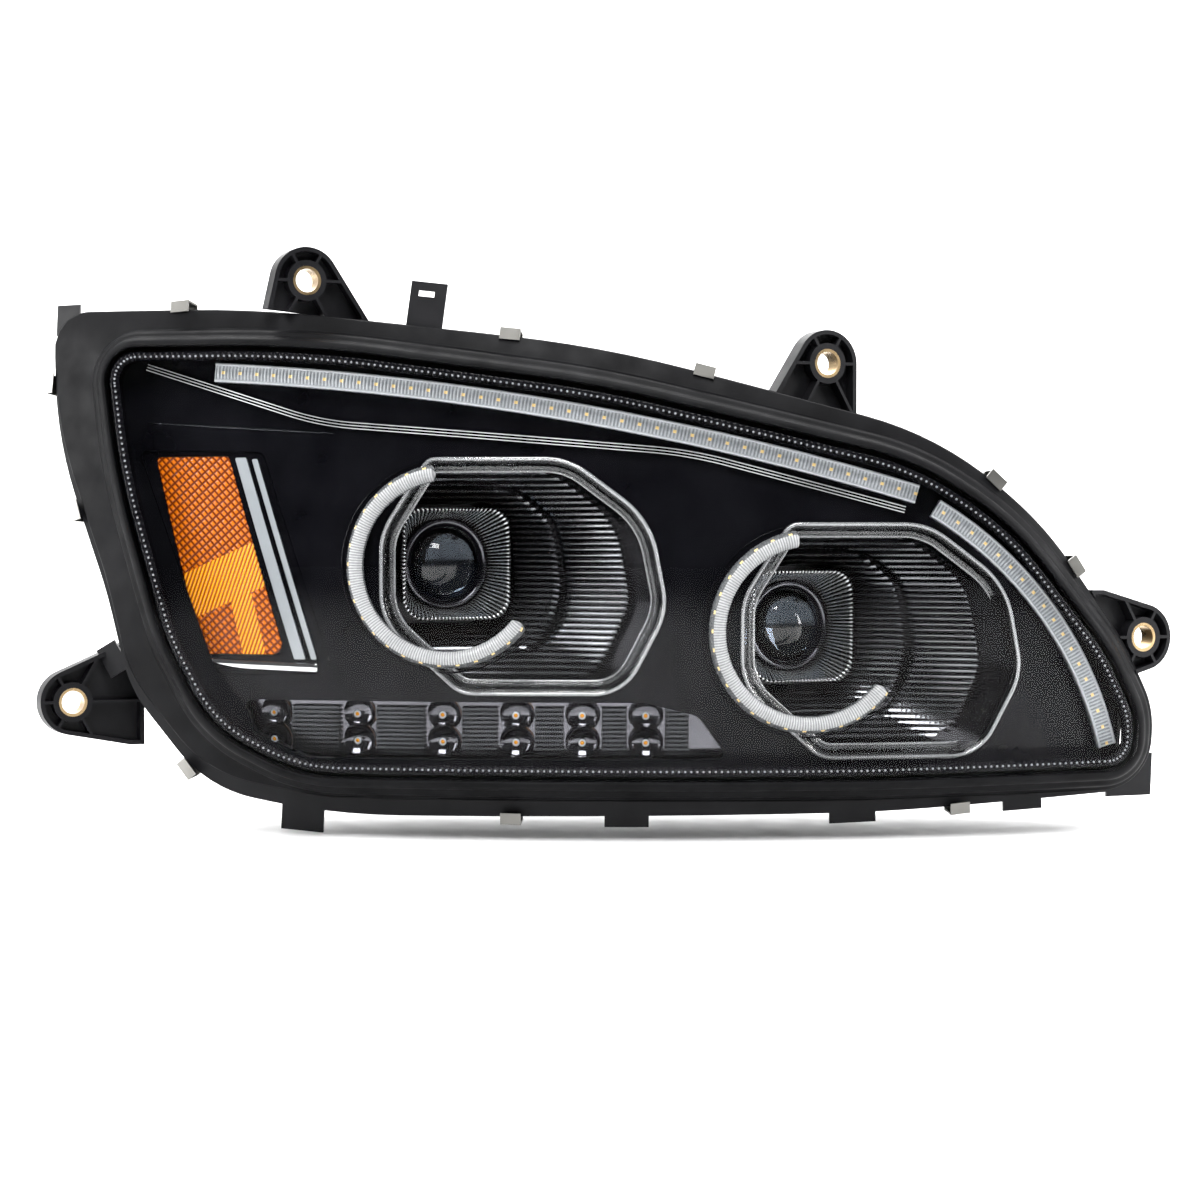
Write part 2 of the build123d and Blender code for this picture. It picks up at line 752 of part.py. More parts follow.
def shroud(tip):
    """Square flare round the lens; it moves with the beam."""
    with BuildPart() as flare:
        for shrink, mode in ((0, Mode.ADD), (1, Mode.SUBTRACT)):
            for size, back, wall in (
                (SHROUD_MOUTH, SHROUD_FRONT, SHROUD_WALL[0] * shrink),
                (SHROUD_THROAT, SHROUD_REAR, SHROUD_WALL[1] * shrink),
            ):
                with BuildSketch(ahead(tip, back)):
                    RectangleRounded(size[0] - 2 * wall, size[1] - 2 * wall, size[2] - wall)
            loft(ruled=True, mode=mode)
    return flare.part


# ---- aiming gear ----
BALL_RADIUS = 5
SOCKET_RADIUS = 5.4
SHANK_RADIUS = 3
PIN_RADIUS = 4
GEARCASE_RADIUS = 12
GEARCASE_END = 146
GEARCASE_LENGTH = 30
GEARCASE_GAP = 0.2
GEARCASE_SLIDE = 0.3
KNOB_RADIUS = 11
HINGE_RADIUS = 9
HINGE_GAP = 0.06
HINGE_SOCKET = 18
HINGE_SOCKET_OUT = 45
BODY_GAP = 0.6
FOOT_BLOCK = (18, 14, 30)
FOOT_RISE = 6
SHANK_CLEARANCE = 1.2
SCREW_END = 121
SCREW_LENGTH = 118
ALONG_X = (0, 90, 0)
ALONG_Y = (90, 0, 0)


def carrier(tip):
    """Plate that holds the projector, hung on two pins and pushed at its foot."""
    pivot = tip + Vector(0, PIVOT_BACK, PIVOT_RISE)
    foot = tip + Vector(0, PIVOT_BACK, -SCREW_DROP)
    with BuildPart() as frame:
        with BuildSketch(ahead(tip, PLATE_BACK)):
            RectangleRounded(PLATE_SIDE, PLATE_SIDE, 8)
        extrude(amount=PLATE_THICKNESS)
        with Locations(Location(pivot, ALONG_X)):
            Cylinder(HINGE_RADIUS, PLATE_SIDE)
        with Locations(foot + Vector(0, 0, FOOT_RISE)):
            Box(*FOOT_BLOCK)
        with BuildSketch(ahead(tip, 60)):
            Circle(BODY_RADIUS + BODY_GAP)
        extrude(amount=40, mode=Mode.SUBTRACT)
        for side in (-1, 1):
            with Locations(Location(pivot + Vector(side * HINGE_SOCKET_OUT, 0, 0), ALONG_X)):
                Cylinder(PIN_RADIUS + HINGE_GAP, HINGE_SOCKET, mode=Mode.SUBTRACT)
        with Locations(foot):
            Sphere(SOCKET_RADIUS, mode=Mode.SUBTRACT)
        with Locations(Location(foot + Vector(0, 8, 0), ALONG_Y)):
            Cylinder(SHANK_RADIUS + SHANK_CLEARANCE, 16, mode=Mode.SUBTRACT)
    return frame.part


PIN_OUT = 50.5
PIN_LENGTH = 27
PIN_SPOTS = [
    tip + Vector(side * PIN_OUT, PIVOT_BACK, PIVOT_RISE) for tip in lens_tips.values() for side in (-1, 1)
]
ARM_OUT = 59
ARM_FRONT = 36
ARM_BLOCK = (10, 140, 16)


def pivot_pins():
    with BuildPart() as pins:
        for spot in PIN_SPOTS:
            with Locations(Location(spot, ALONG_X)):
                Cylinder(PIN_RADIUS, PIN_LENGTH)
    return pins.part


def pivot_brackets():
    """Two arms for each beam that stand forward from the back wall."""
    with BuildPart() as arms:
        for tip in lens_tips.values():
            for side in (-1, 1):
                with Locations(tip + Vector(side * ARM_OUT, ARM_FRONT + ARM_BLOCK[1] / 2, PIVOT_RISE)):
                    Box(*ARM_BLOCK)
        add(tub_hollow, mode=Mode.INTERSECT)
        for spot in PIN_SPOTS:
            with Locations(Location(spot, ALONG_X)):
                Cylinder(PIN_RADIUS, PIN_LENGTH, mode=Mode.SUBTRACT)
    return arms.part


def aim_screw(tip):
    ball = tip + Vector(0, PIVOT_BACK, -SCREW_DROP)
    with BuildPart() as screw:
        with Locations(ball):
            Sphere(BALL_RADIUS)
        with BuildSketch(ahead(ball, SCREW_END)):
            Circle(SHANK_RADIUS)
        extrude(amount=SCREW_LENGTH)
    return screw.part


def aim_gearcases():
    """Guides for the aim screws, set in the back wall."""
    with BuildPart() as cases:
        for tip in lens_tips.values():
            with BuildSketch(ahead(tip + Vector(0, 0, -SCREW_DROP), GEARCASE_END)):
                Circle(GEARCASE_RADIUS)
                Circle(SHANK_RADIUS + GEARCASE_SLIDE, mode=Mode.SUBTRACT)
            extrude(amount=GEARCASE_LENGTH)
    return cases.part


KNOB_BACK = 13
KNOB_LENGTH = 12.5
KNOB_GAP = 0.1
KNOB_FLUTES = 12
FLUTE_RADIUS = 1.6


def aim_knob(tip):
    with BuildPart() as knob:
        with BuildSketch(ahead(tip + Vector(0, 0, -SCREW_DROP), GEARCASE_END + KNOB_BACK)):
            Circle(KNOB_RADIUS)
            Circle(SHANK_RADIUS + KNOB_GAP, mode=Mode.SUBTRACT)
            with PolarLocations(KNOB_RADIUS + 0.5, KNOB_FLUTES):
                Circle(FLUTE_RADIUS, mode=Mode.SUBTRACT)
        extrude(amount=KNOB_LENGTH)
    return knob.part


BOOT_PROFILE = [
    (56.4, 162), (60, 162), (60, 179), (57, 182), (48, 182), (45, 178.5), (40, 178.5), (37, 184),
    (0, 184), (0, 181), (36, 181), (38.5, 175.5), (46.5, 175.5), (49.5, 179), (54, 179), (56.4, 176.4),
]


def access_boot(tip):
    """Rubber cap over the collar."""
    return turned(tip, BOOT_PROFILE)


# ---- on the back wall ----
BACK = FACE.offset(TUB_BACK_W)
DRIVER_SPOT = (215, -50)
DRIVER_SIZE = (90, 84, 22)
DRIVER_CORNER = 6
DRIVER_SLOTS = 9
DRIVER_SLOT_SIZE = (4, 60)
DRIVER_SLOT_DEPTH = 8
WALL_GAP = 0.1
INLET_SPOT = FACE.from_local_coords(Vector(-40, 108, TUB_BACK_W))
INLET_REACH = 32
INLET_SIZE = (42, 26)
INLET_HOLLOW = (35, 19)
INLET_DEPTH = 18
INLET_CATCH = (12, 4)
INLET_ROOT = 60
CONTACT_SIZE = (2.4, 0.8)
CONTACT_LENGTH = 10
CONTACT_PITCH = (7, 8)
CONTACT_ROWS = (4, 2)
VENT_SPOTS = [(-40, -100), (170, 60)]
VENT_NECK = (6, 5)
VENT_CAP = (9, 6)


def driver_box():
    """Finned box for the LED drivers."""
    with BuildPart() as box:
        with BuildSketch(BACK.offset(-WALL_GAP)):
            with Locations(DRIVER_SPOT):
                RectangleRounded(*DRIVER_SIZE[:2], DRIVER_CORNER)
        extrude(amount=-DRIVER_SIZE[2])
        with BuildSketch(BACK.offset(-WALL_GAP - DRIVER_SIZE[2])):
            with Locations(DRIVER_SPOT):
                with GridLocations(2 * DRIVER_SLOT_SIZE[0], 0, DRIVER_SLOTS, 1):
                    Rectangle(*DRIVER_SLOT_SIZE)
        extrude(amount=DRIVER_SLOT_DEPTH, mode=Mode.SUBTRACT)
    return box.part


def connector_inlet():
    """Socket for the vehicle's plug, with a catch on top."""
    with BuildPart() as socket:
        with BuildSketch(ahead(INLET_SPOT, INLET_REACH)):
            RectangleRounded(*INLET_SIZE, 5)
            with Locations((0, INLET_SIZE[1] / 2 + 1)):
                Rectangle(*INLET_CATCH)
        extrude(amount=INLET_ROOT)
        add(tub_outside, mode=Mode.SUBTRACT)
        with BuildSketch(ahead(INLET_SPOT, INLET_REACH)):
            RectangleRounded(*INLET_HOLLOW, 3)
        extrude(amount=INLET_DEPTH, mode=Mode.SUBTRACT)
    return socket.part


def connector_pins():
    with BuildPart() as pins:
        with BuildSketch(ahead(INLET_SPOT, INLET_REACH - INLET_DEPTH + CONTACT_LENGTH)):
            with GridLocations(*CONTACT_PITCH, *CONTACT_ROWS):
                Rectangle(*CONTACT_SIZE)
        extrude(amount=CONTACT_LENGTH)
    return pins.part


def breather_vents():
    with BuildPart() as caps:
        with BuildSketch(BACK.offset(-WALL_GAP)):
            with Locations(*VENT_SPOTS):
                Circle(VENT_NECK[0])
        extrude(amount=-VENT_NECK[1])
        with BuildSketch(BACK.offset(-VENT_NECK[1])):
            with Locations(*VENT_SPOTS):
                Circle(VENT_CAP[0])
        extrude(amount=-VENT_CAP[1])
    return caps.part


BACK_SCREW_IN = 6
BACK_SCREW_RADIUS = 4
BACK_SCREW_HEIGHT = 2.6


def back_screws():
    """Heads of the screws that hold the driver box."""
    across = DRIVER_SIZE[0] - 2 * BACK_SCREW_IN
    up = DRIVER_SIZE[1] - 2 * BACK_SCREW_IN
    with BuildPart() as screws:
        with BuildSketch(BACK.offset(-2 * WALL_GAP - DRIVER_SIZE[2])):
            with Locations(DRIVER_SPOT):
                with GridLocations(across, up, 2, 2):
                    Circle(BACK_SCREW_RADIUS)
        extrude(amount=-BACK_SCREW_HEIGHT)
    return screws.part


save(housing(), "housing")
save(outer_lens(), "outer_lens")
save(lens_seal(), "lens_seal")
save(gasket(), "gasket")
for name, bush in bushes.items():
    save(ear(bush, EAR_FEET[name]), f"{name}_ear")
save(mount_bushes(), "mount_bushes")
save(spring_clips(), "spring_clips")

save(bezel(), "bezel")
save(bar(LONG_BAR, BAR_WIDTH, GUIDE_FRONT, GUIDE_BACK), "daytime_light_guide")
save(bar(SWEPT_BAR, BAR_WIDTH, GUIDE_FRONT, GUIDE_BACK), "swept_light_guide")
save(led_strips(), "daytime_led_strips")
save(eyebrow_trim(), "eyebrow_trim")

save(side_pocket(), "side_pocket")
save(slab(SIDE_REFLECTOR, 0, REFLECTOR_FRONT, REFLECTOR_BACK), "side_reflector")
save(side_light_pipes(), "side_light_pipes")
save(
    slab(SIDE_POCKET, -MARKER_BOARD_IN, MARKER_BOARD_FRONT, MARKER_BOARD_BACK), "side_marker_board"
)

save(turn_reflectors(), "turn_reflectors")
save(turn_leds(), "turn_leds")
save(turn_rib_plates(), "turn_rib_plates")
save(slab(TURN_WINDOW, -TURN_BOARD_IN, TURN_BOARD_FRONT, TURN_BOARD_BACK), "turn_board")

for beam, tip in lens_tips.items():
    centre = halo_centres[beam]
    save(halo(centre), f"{beam}_halo")
    save(accent_ring(centre), f"{beam}_accent_ring")
    save(pocket(tip, centre), f"{beam}_pocket")
    save(shroud(tip), f"{beam}_shroud")
    save(projector_lens(tip), f"{beam}_lens")
    save(lens_holder(tip), f"{beam}_lens_holder")
    save(projector_body(tip), f"{beam}_projector_body")
    save(led_board(tip), f"{beam}_led_board")
    save(heat_sink(tip), f"{beam}_heat_sink")
    save(module_screws(tip), f"{beam}_screws")
    save(carrier(tip), f"{beam}_carrier")
    save(aim_screw(tip), f"{beam}_aim_screw")
    save(aim_knob(tip), f"{beam}_aim_knob")
    save(access_boot(tip), f"{beam}_access_boot")
save(cutoff_shield(lens_tips["low_beam"]), "low_beam_cutoff_shield")
save(pivot_pins(), "pivot_pins")
save(pivot_brackets(), "pivot_brackets")
save(aim_gearcases(), "aim_gearcases")

save(driver_box(), "led_driver_box")
save(connector_inlet(), "connector_inlet")
save(connector_pins(), "connector_pins")
save(breather_vents(), "breather_vents")
save(back_screws(), "driver_box_screws")
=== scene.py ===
from math import atan2, ceil, cos, pi, radians, sin, sqrt, tan

import bmesh
import bpy
from mathutils import Matrix, Vector


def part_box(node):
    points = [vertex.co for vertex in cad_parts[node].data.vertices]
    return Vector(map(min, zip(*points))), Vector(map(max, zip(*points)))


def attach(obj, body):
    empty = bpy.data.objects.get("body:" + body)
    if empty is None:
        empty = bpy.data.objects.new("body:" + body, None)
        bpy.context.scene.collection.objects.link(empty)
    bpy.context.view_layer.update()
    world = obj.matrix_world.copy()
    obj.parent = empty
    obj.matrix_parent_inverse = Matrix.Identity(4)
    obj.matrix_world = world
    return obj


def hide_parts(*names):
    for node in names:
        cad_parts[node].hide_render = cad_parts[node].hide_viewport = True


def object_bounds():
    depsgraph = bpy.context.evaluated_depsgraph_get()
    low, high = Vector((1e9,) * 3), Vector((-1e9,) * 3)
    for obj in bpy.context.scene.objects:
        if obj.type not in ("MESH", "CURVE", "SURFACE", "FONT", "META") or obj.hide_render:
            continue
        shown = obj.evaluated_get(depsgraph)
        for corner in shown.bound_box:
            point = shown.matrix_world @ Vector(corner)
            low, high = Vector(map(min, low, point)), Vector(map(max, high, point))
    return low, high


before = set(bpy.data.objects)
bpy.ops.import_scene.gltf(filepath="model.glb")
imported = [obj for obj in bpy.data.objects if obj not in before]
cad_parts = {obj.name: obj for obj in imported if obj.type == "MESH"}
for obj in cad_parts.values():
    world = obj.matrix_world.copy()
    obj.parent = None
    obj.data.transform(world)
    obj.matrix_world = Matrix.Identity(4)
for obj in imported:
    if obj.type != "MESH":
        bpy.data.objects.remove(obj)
cad_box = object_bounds()

# Looks of a truck headlight. Lengths below are millimetres; the scene is in metres.
MM = 0.001

# ---- the lamp's face: u runs inboard, v up, w out towards the viewer ----
FACE_TURN = radians(25)
FACE_RADIUS = 900
BALL_U = 30
BALL_V = 20
BUSH_ON_FACE = (-203, 217, -75)
U_AXIS = Vector((cos(FACE_TURN), -sin(FACE_TURN), 0))
V_AXIS = Vector((0, 0, 1))
W_AXIS = Vector((-sin(FACE_TURN), -cos(FACE_TURN), 0))

# ---- outlines and lines on the face: u, v, corner radius ----
RIM = [
    (-389, 202, 25), (-240, 199, 900), (0, 170, 900), (232, 110, 240), (304, 50, 250),
    (363, -30, 180), (386, -85, 60), (384, -135, 22), (190, -146, 1500), (-184, -149, 500),
    (-273, -133, 90), (-329, -65, 90), (-346, 4, 300), (-387, 117, 300),
]
LENS = [
    (-347, 173, 22), (-203, 171, 900), (0, 142, 900), (212, 92, 200), (278, 50, 220),
    (348, -36, 160), (371, -81, 50), (370, -119, 20), (180, -122, 1500), (-205, -121, 120),
    (-268, -90, 90), (-300, -30, 150), (-334, 85, 500),
]
POD_OPENING = [
    (-14, 74, 12), (82, 74, 50), (138, 32, 60), (150, -30, 45), (120, -88, 35), (8, -88, 25),
    (-47, -38, 45), (-47, 22, 45),
]
EYEBROW = [(-316, 160, 0), (-190, 119, 200), (60, 98, 300), (206, 60, 0)]
LONG_BAR = [(-265, 155), (0, 122), (214, 70.5)]
SWEPT_BAR = [(227, 61), (303, -5), (352, -103)]
GASKET_LIFT = 11
HALOS = {"low_beam": (-103, 22), "high_beam": (141, -22)}
TURN_COLUMNS = [-225, -166, -107, -57, -12, 31]
TURN_ROWS = [-79.5, -98]
LED_PITCH = 12


# ---- places ----

def place(u, v, w):
    """Point of the row frame from face axes."""
    du, dv, dw = u - BUSH_ON_FACE[0], v - BUSH_ON_FACE[1], w - BUSH_ON_FACE[2]
    return (U_AXIS * du + V_AXIS * dv + W_AXIS * dw) * MM


BALL_CENTRE = place(BALL_U, BALL_V, -FACE_RADIUS)


def on_skin(u, v, depth):
    """Point that lies under (u, v) of the face, at a depth below its skin."""
    reach = FACE_RADIUS - depth
    return place(u, v, sqrt(reach**2 - (u - BALL_U) ** 2 - (v - BALL_V) ** 2) - FACE_RADIUS)


def outward(u, v):
    return (on_skin(u, v, 0) - BALL_CENTRE).normalized()


def lens_tip(beam):
    """Front of a projector lens: the middle of its CAD box, at the box's front."""
    low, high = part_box(f"{beam}_lens")
    return Vector(((low.x + high.x) / 2, low.y, (low.z + high.z) / 2))


def evenly(path, step, closed):
    """The same path as points that lie a step apart."""
    if closed:
        path = path + path[:1]
    runs = [(b - a).length for a, b in zip(path, path[1:])]
    count = max(2, round(sum(runs) / step))
    spots, k, passed = [], 0, 0.0
    for i in range(count + (not closed)):
        target = sum(runs) * i / count
        while k < len(runs) - 1 and passed + runs[k] < target:
            passed += runs[k]
            k += 1
        spots.append(path[k].lerp(path[k + 1], min(1, (target - passed) / max(runs[k], 1e-9))))
    return spots


def rounded(corners, step, closed=True):
    """Evenly spaced (u, v) points along an outline or line with rounded corners."""
    path, count = [], len(corners)
    for k, (u, v, radius) in enumerate(corners):
        here = Vector((u, v))
        if not radius:
            path.append(here)
            continue
        back = (Vector(corners[k - 1][:2]) - here).normalized()
        on = (Vector(corners[(k + 1) % count][:2]) - here).normalized()
        inner = back.angle(on)
        middle = here + (back + on).normalized() * (radius / sin(inner / 2))
        arm = here + back * (radius / tan(inner / 2)) - middle
        turn = (pi - inner) * (1 if on.cross(back) > 0 else -1)
        steps = max(2, ceil(radius * abs(turn) / step))
        path += [middle + Matrix.Rotation(turn * i / steps, 2) @ arm for i in range(steps + 1)]
    return evenly(path, step, closed)


def sideways(path, closed=True):
    """Unit vectors across a path, to its left."""
    last = len(path) - 1
    arrows = []
    for k in range(len(path)):
        before = path[k - 1] if closed or k else path[0]
        after = path[(k + 1) % len(path)] if closed or k < last else path[last]
        run = (after - before).normalized()
        arrows.append(Vector((-run.y, run.x)))
    return arrows


def arc_through(points, step):
    """Evenly spaced (u, v) points along the arc through three points."""
    a, b, c = (Vector(p) for p in points)
    d = 2 * (a.x * (b.y - c.y) + b.x * (c.y - a.y) + c.x * (a.y - b.y))
    sa, sb, sc = a.length_squared, b.length_squared, c.length_squared
    centre = Vector((
        (sa * (b.y - c.y) + sb * (c.y - a.y) + sc * (a.y - b.y)) / d,
        (sa * (c.x - b.x) + sb * (a.x - c.x) + sc * (b.x - a.x)) / d,
    ))
    start = atan2(a.y - centre.y, a.x - centre.x)
    end = atan2(c.y - centre.y, c.x - centre.x)
    radius = (a - centre).length
    steps = round(radius * abs(end - start) / step)
    angles = [start + (end - start) * i / steps for i in range(steps + 1)]
    return [centre + Vector((cos(t), sin(t))) * radius for t in angles]


# ---- meshes ----

def to_object(name, mesh):
    shape = bmesh.new()
    shape.from_mesh(mesh)
    bmesh.ops.recalc_face_normals(shape, faces=shape.faces)
    shape.to_mesh(mesh)
    shape.free()
    mesh.shade_smooth()
    obj = bpy.data.objects.new(name, mesh)
    bpy.context.collection.objects.link(obj)
    return obj


def surface(name, rows, loop_rows=False, loop_columns=True, caps=False):
    """Smooth mesh through a grid of points; its UV map holds the row and column numbers."""
    height, width = len(rows), len(rows[0])
    faces, uvs = [], []
    for r in range(height if loop_rows else height - 1):
        for c in range(width if loop_columns else width - 1):
            square = [(r, c), (r, c + 1), (r + 1, c + 1), (r + 1, c)]
            faces.append([(a % height) * width + b % width for a, b in square])
            uvs += square
    if caps:
        for r in (0, height - 1):
            faces.append([r * width + c for c in range(width)])
            uvs += [(r, c) for c in range(width)]
    mesh = bpy.data.meshes.new(name)
    mesh.from_pydata([p for row in rows for p in row], [], faces)
    layer = mesh.uv_layers.new(name="grid")
    for corner, uv in zip(layer.data, uvs):
        corner.uv = uv
    return to_object(name, mesh)


def many(name, rowsets, **options):
    """One mesh out of several grids."""
    parts = [surface(name, rows, **options) for rows in rowsets]
    with bpy.context.temp_override(active_object=parts[0], selected_editable_objects=parts):
        bpy.ops.object.join()
    return parts[0]


def lathe(spot, axis, profile, turns=32):
    """Rows of a turned shape from (radius, height along the axis) points."""
    side = axis.orthogonal().normalized()
    other = axis.cross(side)
    arrows = [side * cos(2 * pi * k / turns) + other * sin(2 * pi * k / turns) for k in range(turns)]
    return [[spot + arrow * (r * MM) + axis * (h * MM) for arrow in arrows] for r, h in profile]


def finish_piece(obj, body, slot, look, *nodes):
    """Gives a piece its finish and its body, and hides the CAD nodes it stands for; the slot is not used."""
    obj.data.materials.clear()
    obj.data.materials.append(look)
    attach(obj, body)
    if nodes:
        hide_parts(*nodes)


# ---- materials ----

def new_material(name):
    """A material with only its output and a Principled shader."""
    look = bpy.data.materials.new(name)
    look.use_nodes = True
    nodes = look.node_tree.nodes
    return look, nodes, look.node_tree.links, nodes["Principled BSDF"]


def noise(nodes, links, scale, detail=3.0):
    """Noise that lies fixed in the row frame."""
    spot = nodes.new("ShaderNodeTexCoord")
    cloud = nodes.new("ShaderNodeTexNoise")
    cloud.inputs["Scale"].default_value = scale
    cloud.inputs["Detail"].default_value = detail
    links.new(spot.outputs["Object"], cloud.inputs["Vector"])
    return cloud.outputs["Fac"]


def scaled(nodes, links, value, low, high, start=0.3, end=0.7):
    """Maps a value onto a range."""
    node = nodes.new("ShaderNodeMapRange")
    links.new(value, node.inputs["Value"])
    for key, number in (("From Min", start), ("From Max", end), ("To Min", low), ("To Max", high)):
        node.inputs[key].default_value = number
    return node.outputs["Result"]


def blend(nodes, links, factor, colour, other):
    """Mixes two colours, each a tuple or a socket."""
    node = nodes.new("ShaderNodeMix")
    node.data_type = "RGBA"
    links.new(factor, node.inputs[0])
    for socket, value in ((node.inputs[6], colour), (node.inputs[7], other)):
        if isinstance(value, tuple):
            socket.default_value = (*value, 1)
        else:
            links.new(value, socket)
    return node.outputs[2]


def maths(nodes, links, operation, value, other=0.0, third=0.0):
    node = nodes.new("ShaderNodeMath")
    node.operation = operation
    for socket, number in zip(node.inputs, (value, other, third)):
        if isinstance(number, (int, float)):
            socket.default_value = number
        else:
            links.new(number, socket)
    return node.outputs[0]


def bump(nodes, links, shader, height, depth, strength=1.0):
    node = nodes.new("ShaderNodeBump")
    node.inputs["Strength"].default_value = strength
    node.inputs["Distance"].default_value = depth * MM
    links.new(height, node.inputs["Height"])
    links.new(node.outputs["Normal"], shader.inputs["Normal"])


def moulded(
    name, colour, roughness, spread=0.08, grain=0.05, grain_scale=1500, worn=1.5, metal=0.0, specular=0.5
):
    """Solid finish whose colour and roughness drift a little, with a fine grain."""
    look, nodes, links, shader = new_material(name)
    drift = noise(nodes, links, 30)
    lighter = tuple(min(1, c * worn + 0.002) for c in colour)
    share = scaled(nodes, links, drift, 0, 1)
    links.new(blend(nodes, links, share, colour, lighter), shader.inputs["Base Color"])
    patches = noise(nodes, links, 55, 5)
    links.new(
        scaled(nodes, links, patches, max(0.02, roughness - spread), roughness + spread),
        shader.inputs["Roughness"],
    )
    shader.inputs["Metallic"].default_value = metal
    shader.inputs["Specular IOR Level"].default_value = specular
    bump(nodes, links, shader, noise(nodes, links, grain_scale, 2), grain)
    return look


def mix_shaders(nodes, links, factor, shader, other):
    mix = nodes.new("ShaderNodeMixShader")
    if isinstance(factor, float):
        mix.inputs[0].default_value = factor
    else:
        links.new(factor, mix.inputs[0])
    links.new(shader, mix.inputs[1])
    links.new(other, mix.inputs[2])
    return mix.outputs[0]


def see_through(name, roughness, haze=0.0, shine=0.02):
    """Thin clear plastic: open, with a shine that grows at its edges and a share of milky haze."""
    look, nodes, links, shader = new_material(name)
    shader.inputs["Base Color"].default_value = (0.80, 0.82, 0.85, 1)
    smear = scaled(nodes, links, noise(nodes, links, 18, 4), roughness, roughness + 0.04)
    links.new(smear, shader.inputs["Roughness"])
    clear = nodes.new("ShaderNodeBsdfTransparent")
    polish = nodes.new("ShaderNodeBsdfAnisotropic")
    links.new(smear, polish.inputs["Roughness"])
    facing = nodes.new("ShaderNodeLayerWeight").outputs["Facing"]
    rising = maths(nodes, links, "POWER", facing, 4.0)
    body = mix_shaders(nodes, links, haze, clear.outputs[0], shader.outputs[0]) if haze else clear.outputs[0]
    share = maths(nodes, links, "MULTIPLY_ADD", rising, 0.6, shine)
    surface_mix = mix_shaders(nodes, links, share, body, polish.outputs[0])
    links.new(surface_mix, nodes["Material Output"].inputs["Surface"])
    return look


def solid_glass(name, tint):
    """Thick glass that lets light through to what is behind it."""
    look, nodes, links, shader = new_material(name)
    shader.inputs["Base Color"].default_value = (*tint, 1)
    shader.inputs["Transmission Weight"].default_value = 1
    shader.inputs["IOR"].default_value = 1.5
    links.new(scaled(nodes, links, noise(nodes, links, 40), 0.0, 0.02), shader.inputs["Roughness"])
    path = nodes.new("ShaderNodeLightPath")
    clear = nodes.new("ShaderNodeBsdfTransparent")
    mix = mix_shaders(nodes, links, path.outputs["Is Shadow Ray"], shader.outputs[0], clear.outputs[0])
    links.new(mix, nodes["Material Output"].inputs["Surface"])
    return look


def grid_numbers(nodes, links):
    """Row and column numbers of a piece made by surface()."""
    uv = nodes.new("ShaderNodeUVMap")
    uv.uv_map = "grid"
    split = nodes.new("ShaderNodeSeparateXYZ")
    links.new(uv.outputs["UV"], split.inputs[0])
    return split.outputs["X"], split.outputs["Y"]


def near(nodes, links, value, target, width):
    """1 where a value is within a width of a target, else 0."""
    away = maths(nodes, links, "ABSOLUTE", maths(nodes, links, "SUBTRACT", value, target))
    return maths(nodes, links, "LESS_THAN", away, width)


MILKY_SHADE = 0.86
# Share of the base colour left in the grooves between a guide's ribs: painted shade.
GROOVE_PAINTED_SHADE = 0.45
LED_GLOW = (0.95, 0.72, 0.32)
FROST_RADIUS = (0.004, 0.004, 0.004)


def light_guide(name, rows_per_led, across, across_width, base, edge, edge_columns):
    """Frosted guide: LEDs glow faintly through it at even spacing. Painted shade darkens the grooves between
    its ribs, and off its ribbed band its colour is darker, partly a greyer clear band and partly painted
    shade.
    """
    look, nodes, links, shader = new_material(name)
    row, column = grid_numbers(nodes, links)
    within = maths(nodes, links, "MODULO", row, rows_per_led)
    spot = maths(
        nodes, links, "MULTIPLY",
        near(nodes, links, within, rows_per_led / 2, rows_per_led * 0.1),
        near(nodes, links, column, across, across_width),
    )
    cloud = scaled(nodes, links, noise(nodes, links, 120), 0, 1)
    milky = blend(nodes, links, cloud, base, tuple(c * MILKY_SHADE for c in base))
    low, high = edge_columns
    inside = near(nodes, links, column, (low + high) / 2, (high - low) / 2)
    swell = maths(nodes, links, "COSINE", maths(nodes, links, "MULTIPLY", row, 2 * pi / RIB_STEPS))
    # Painted shade: the colour darkens in the grooves between the ribs, following the rib wave along the
    # rows.
    groove = tuple(c * GROOVE_PAINTED_SHADE for c in base)
    with_painted_groove_shade = blend(nodes, links, scaled(nodes, links, swell, 0, 1, -1, 1), groove, milky)
    # Off the ribbed band, round the sides and back of the guide, the colour is the darker side colour:
    # partly a greyer clear band, partly painted shade.
    with_side_tone_and_shade = blend(nodes, links, inside, edge, with_painted_groove_shade)
    links.new(blend(nodes, links, spot, with_side_tone_and_shade, LED_GLOW), shader.inputs["Base Color"])
    links.new(scaled(nodes, links, noise(nodes, links, 400), 0.18, 0.34), shader.inputs["Roughness"])
    shader.inputs["Subsurface Weight"].default_value = 0.25
    shader.inputs["Subsurface Radius"].default_value = FROST_RADIUS
    shader.inputs["Subsurface Scale"].default_value = 1
    return look


def face_numbers(nodes, links):
    """u and v of the face, in mm."""
    spot = nodes.new("ShaderNodeTexCoord")
    numbers = []
    for axis, shift in ((U_AXIS, BUSH_ON_FACE[0]), (V_AXIS, BUSH_ON_FACE[1])):
        dot = nodes.new("ShaderNodeVectorMath")
        dot.operation = "DOT_PRODUCT"
        links.new(spot.outputs["Object"], dot.inputs[0])
        dot.inputs[1].default_value = axis / MM
        numbers.append(maths(nodes, links, "ADD", dot.outputs["Value"], shift))
    return numbers


# Two waves across each other make the prisms: direction in degrees and pitch.
PRISM_WAVES = [(42, 3.6), (132, 4.68)]
RIB_LINE_TURN = -20
RIB_LINE_PITCH = 2.6
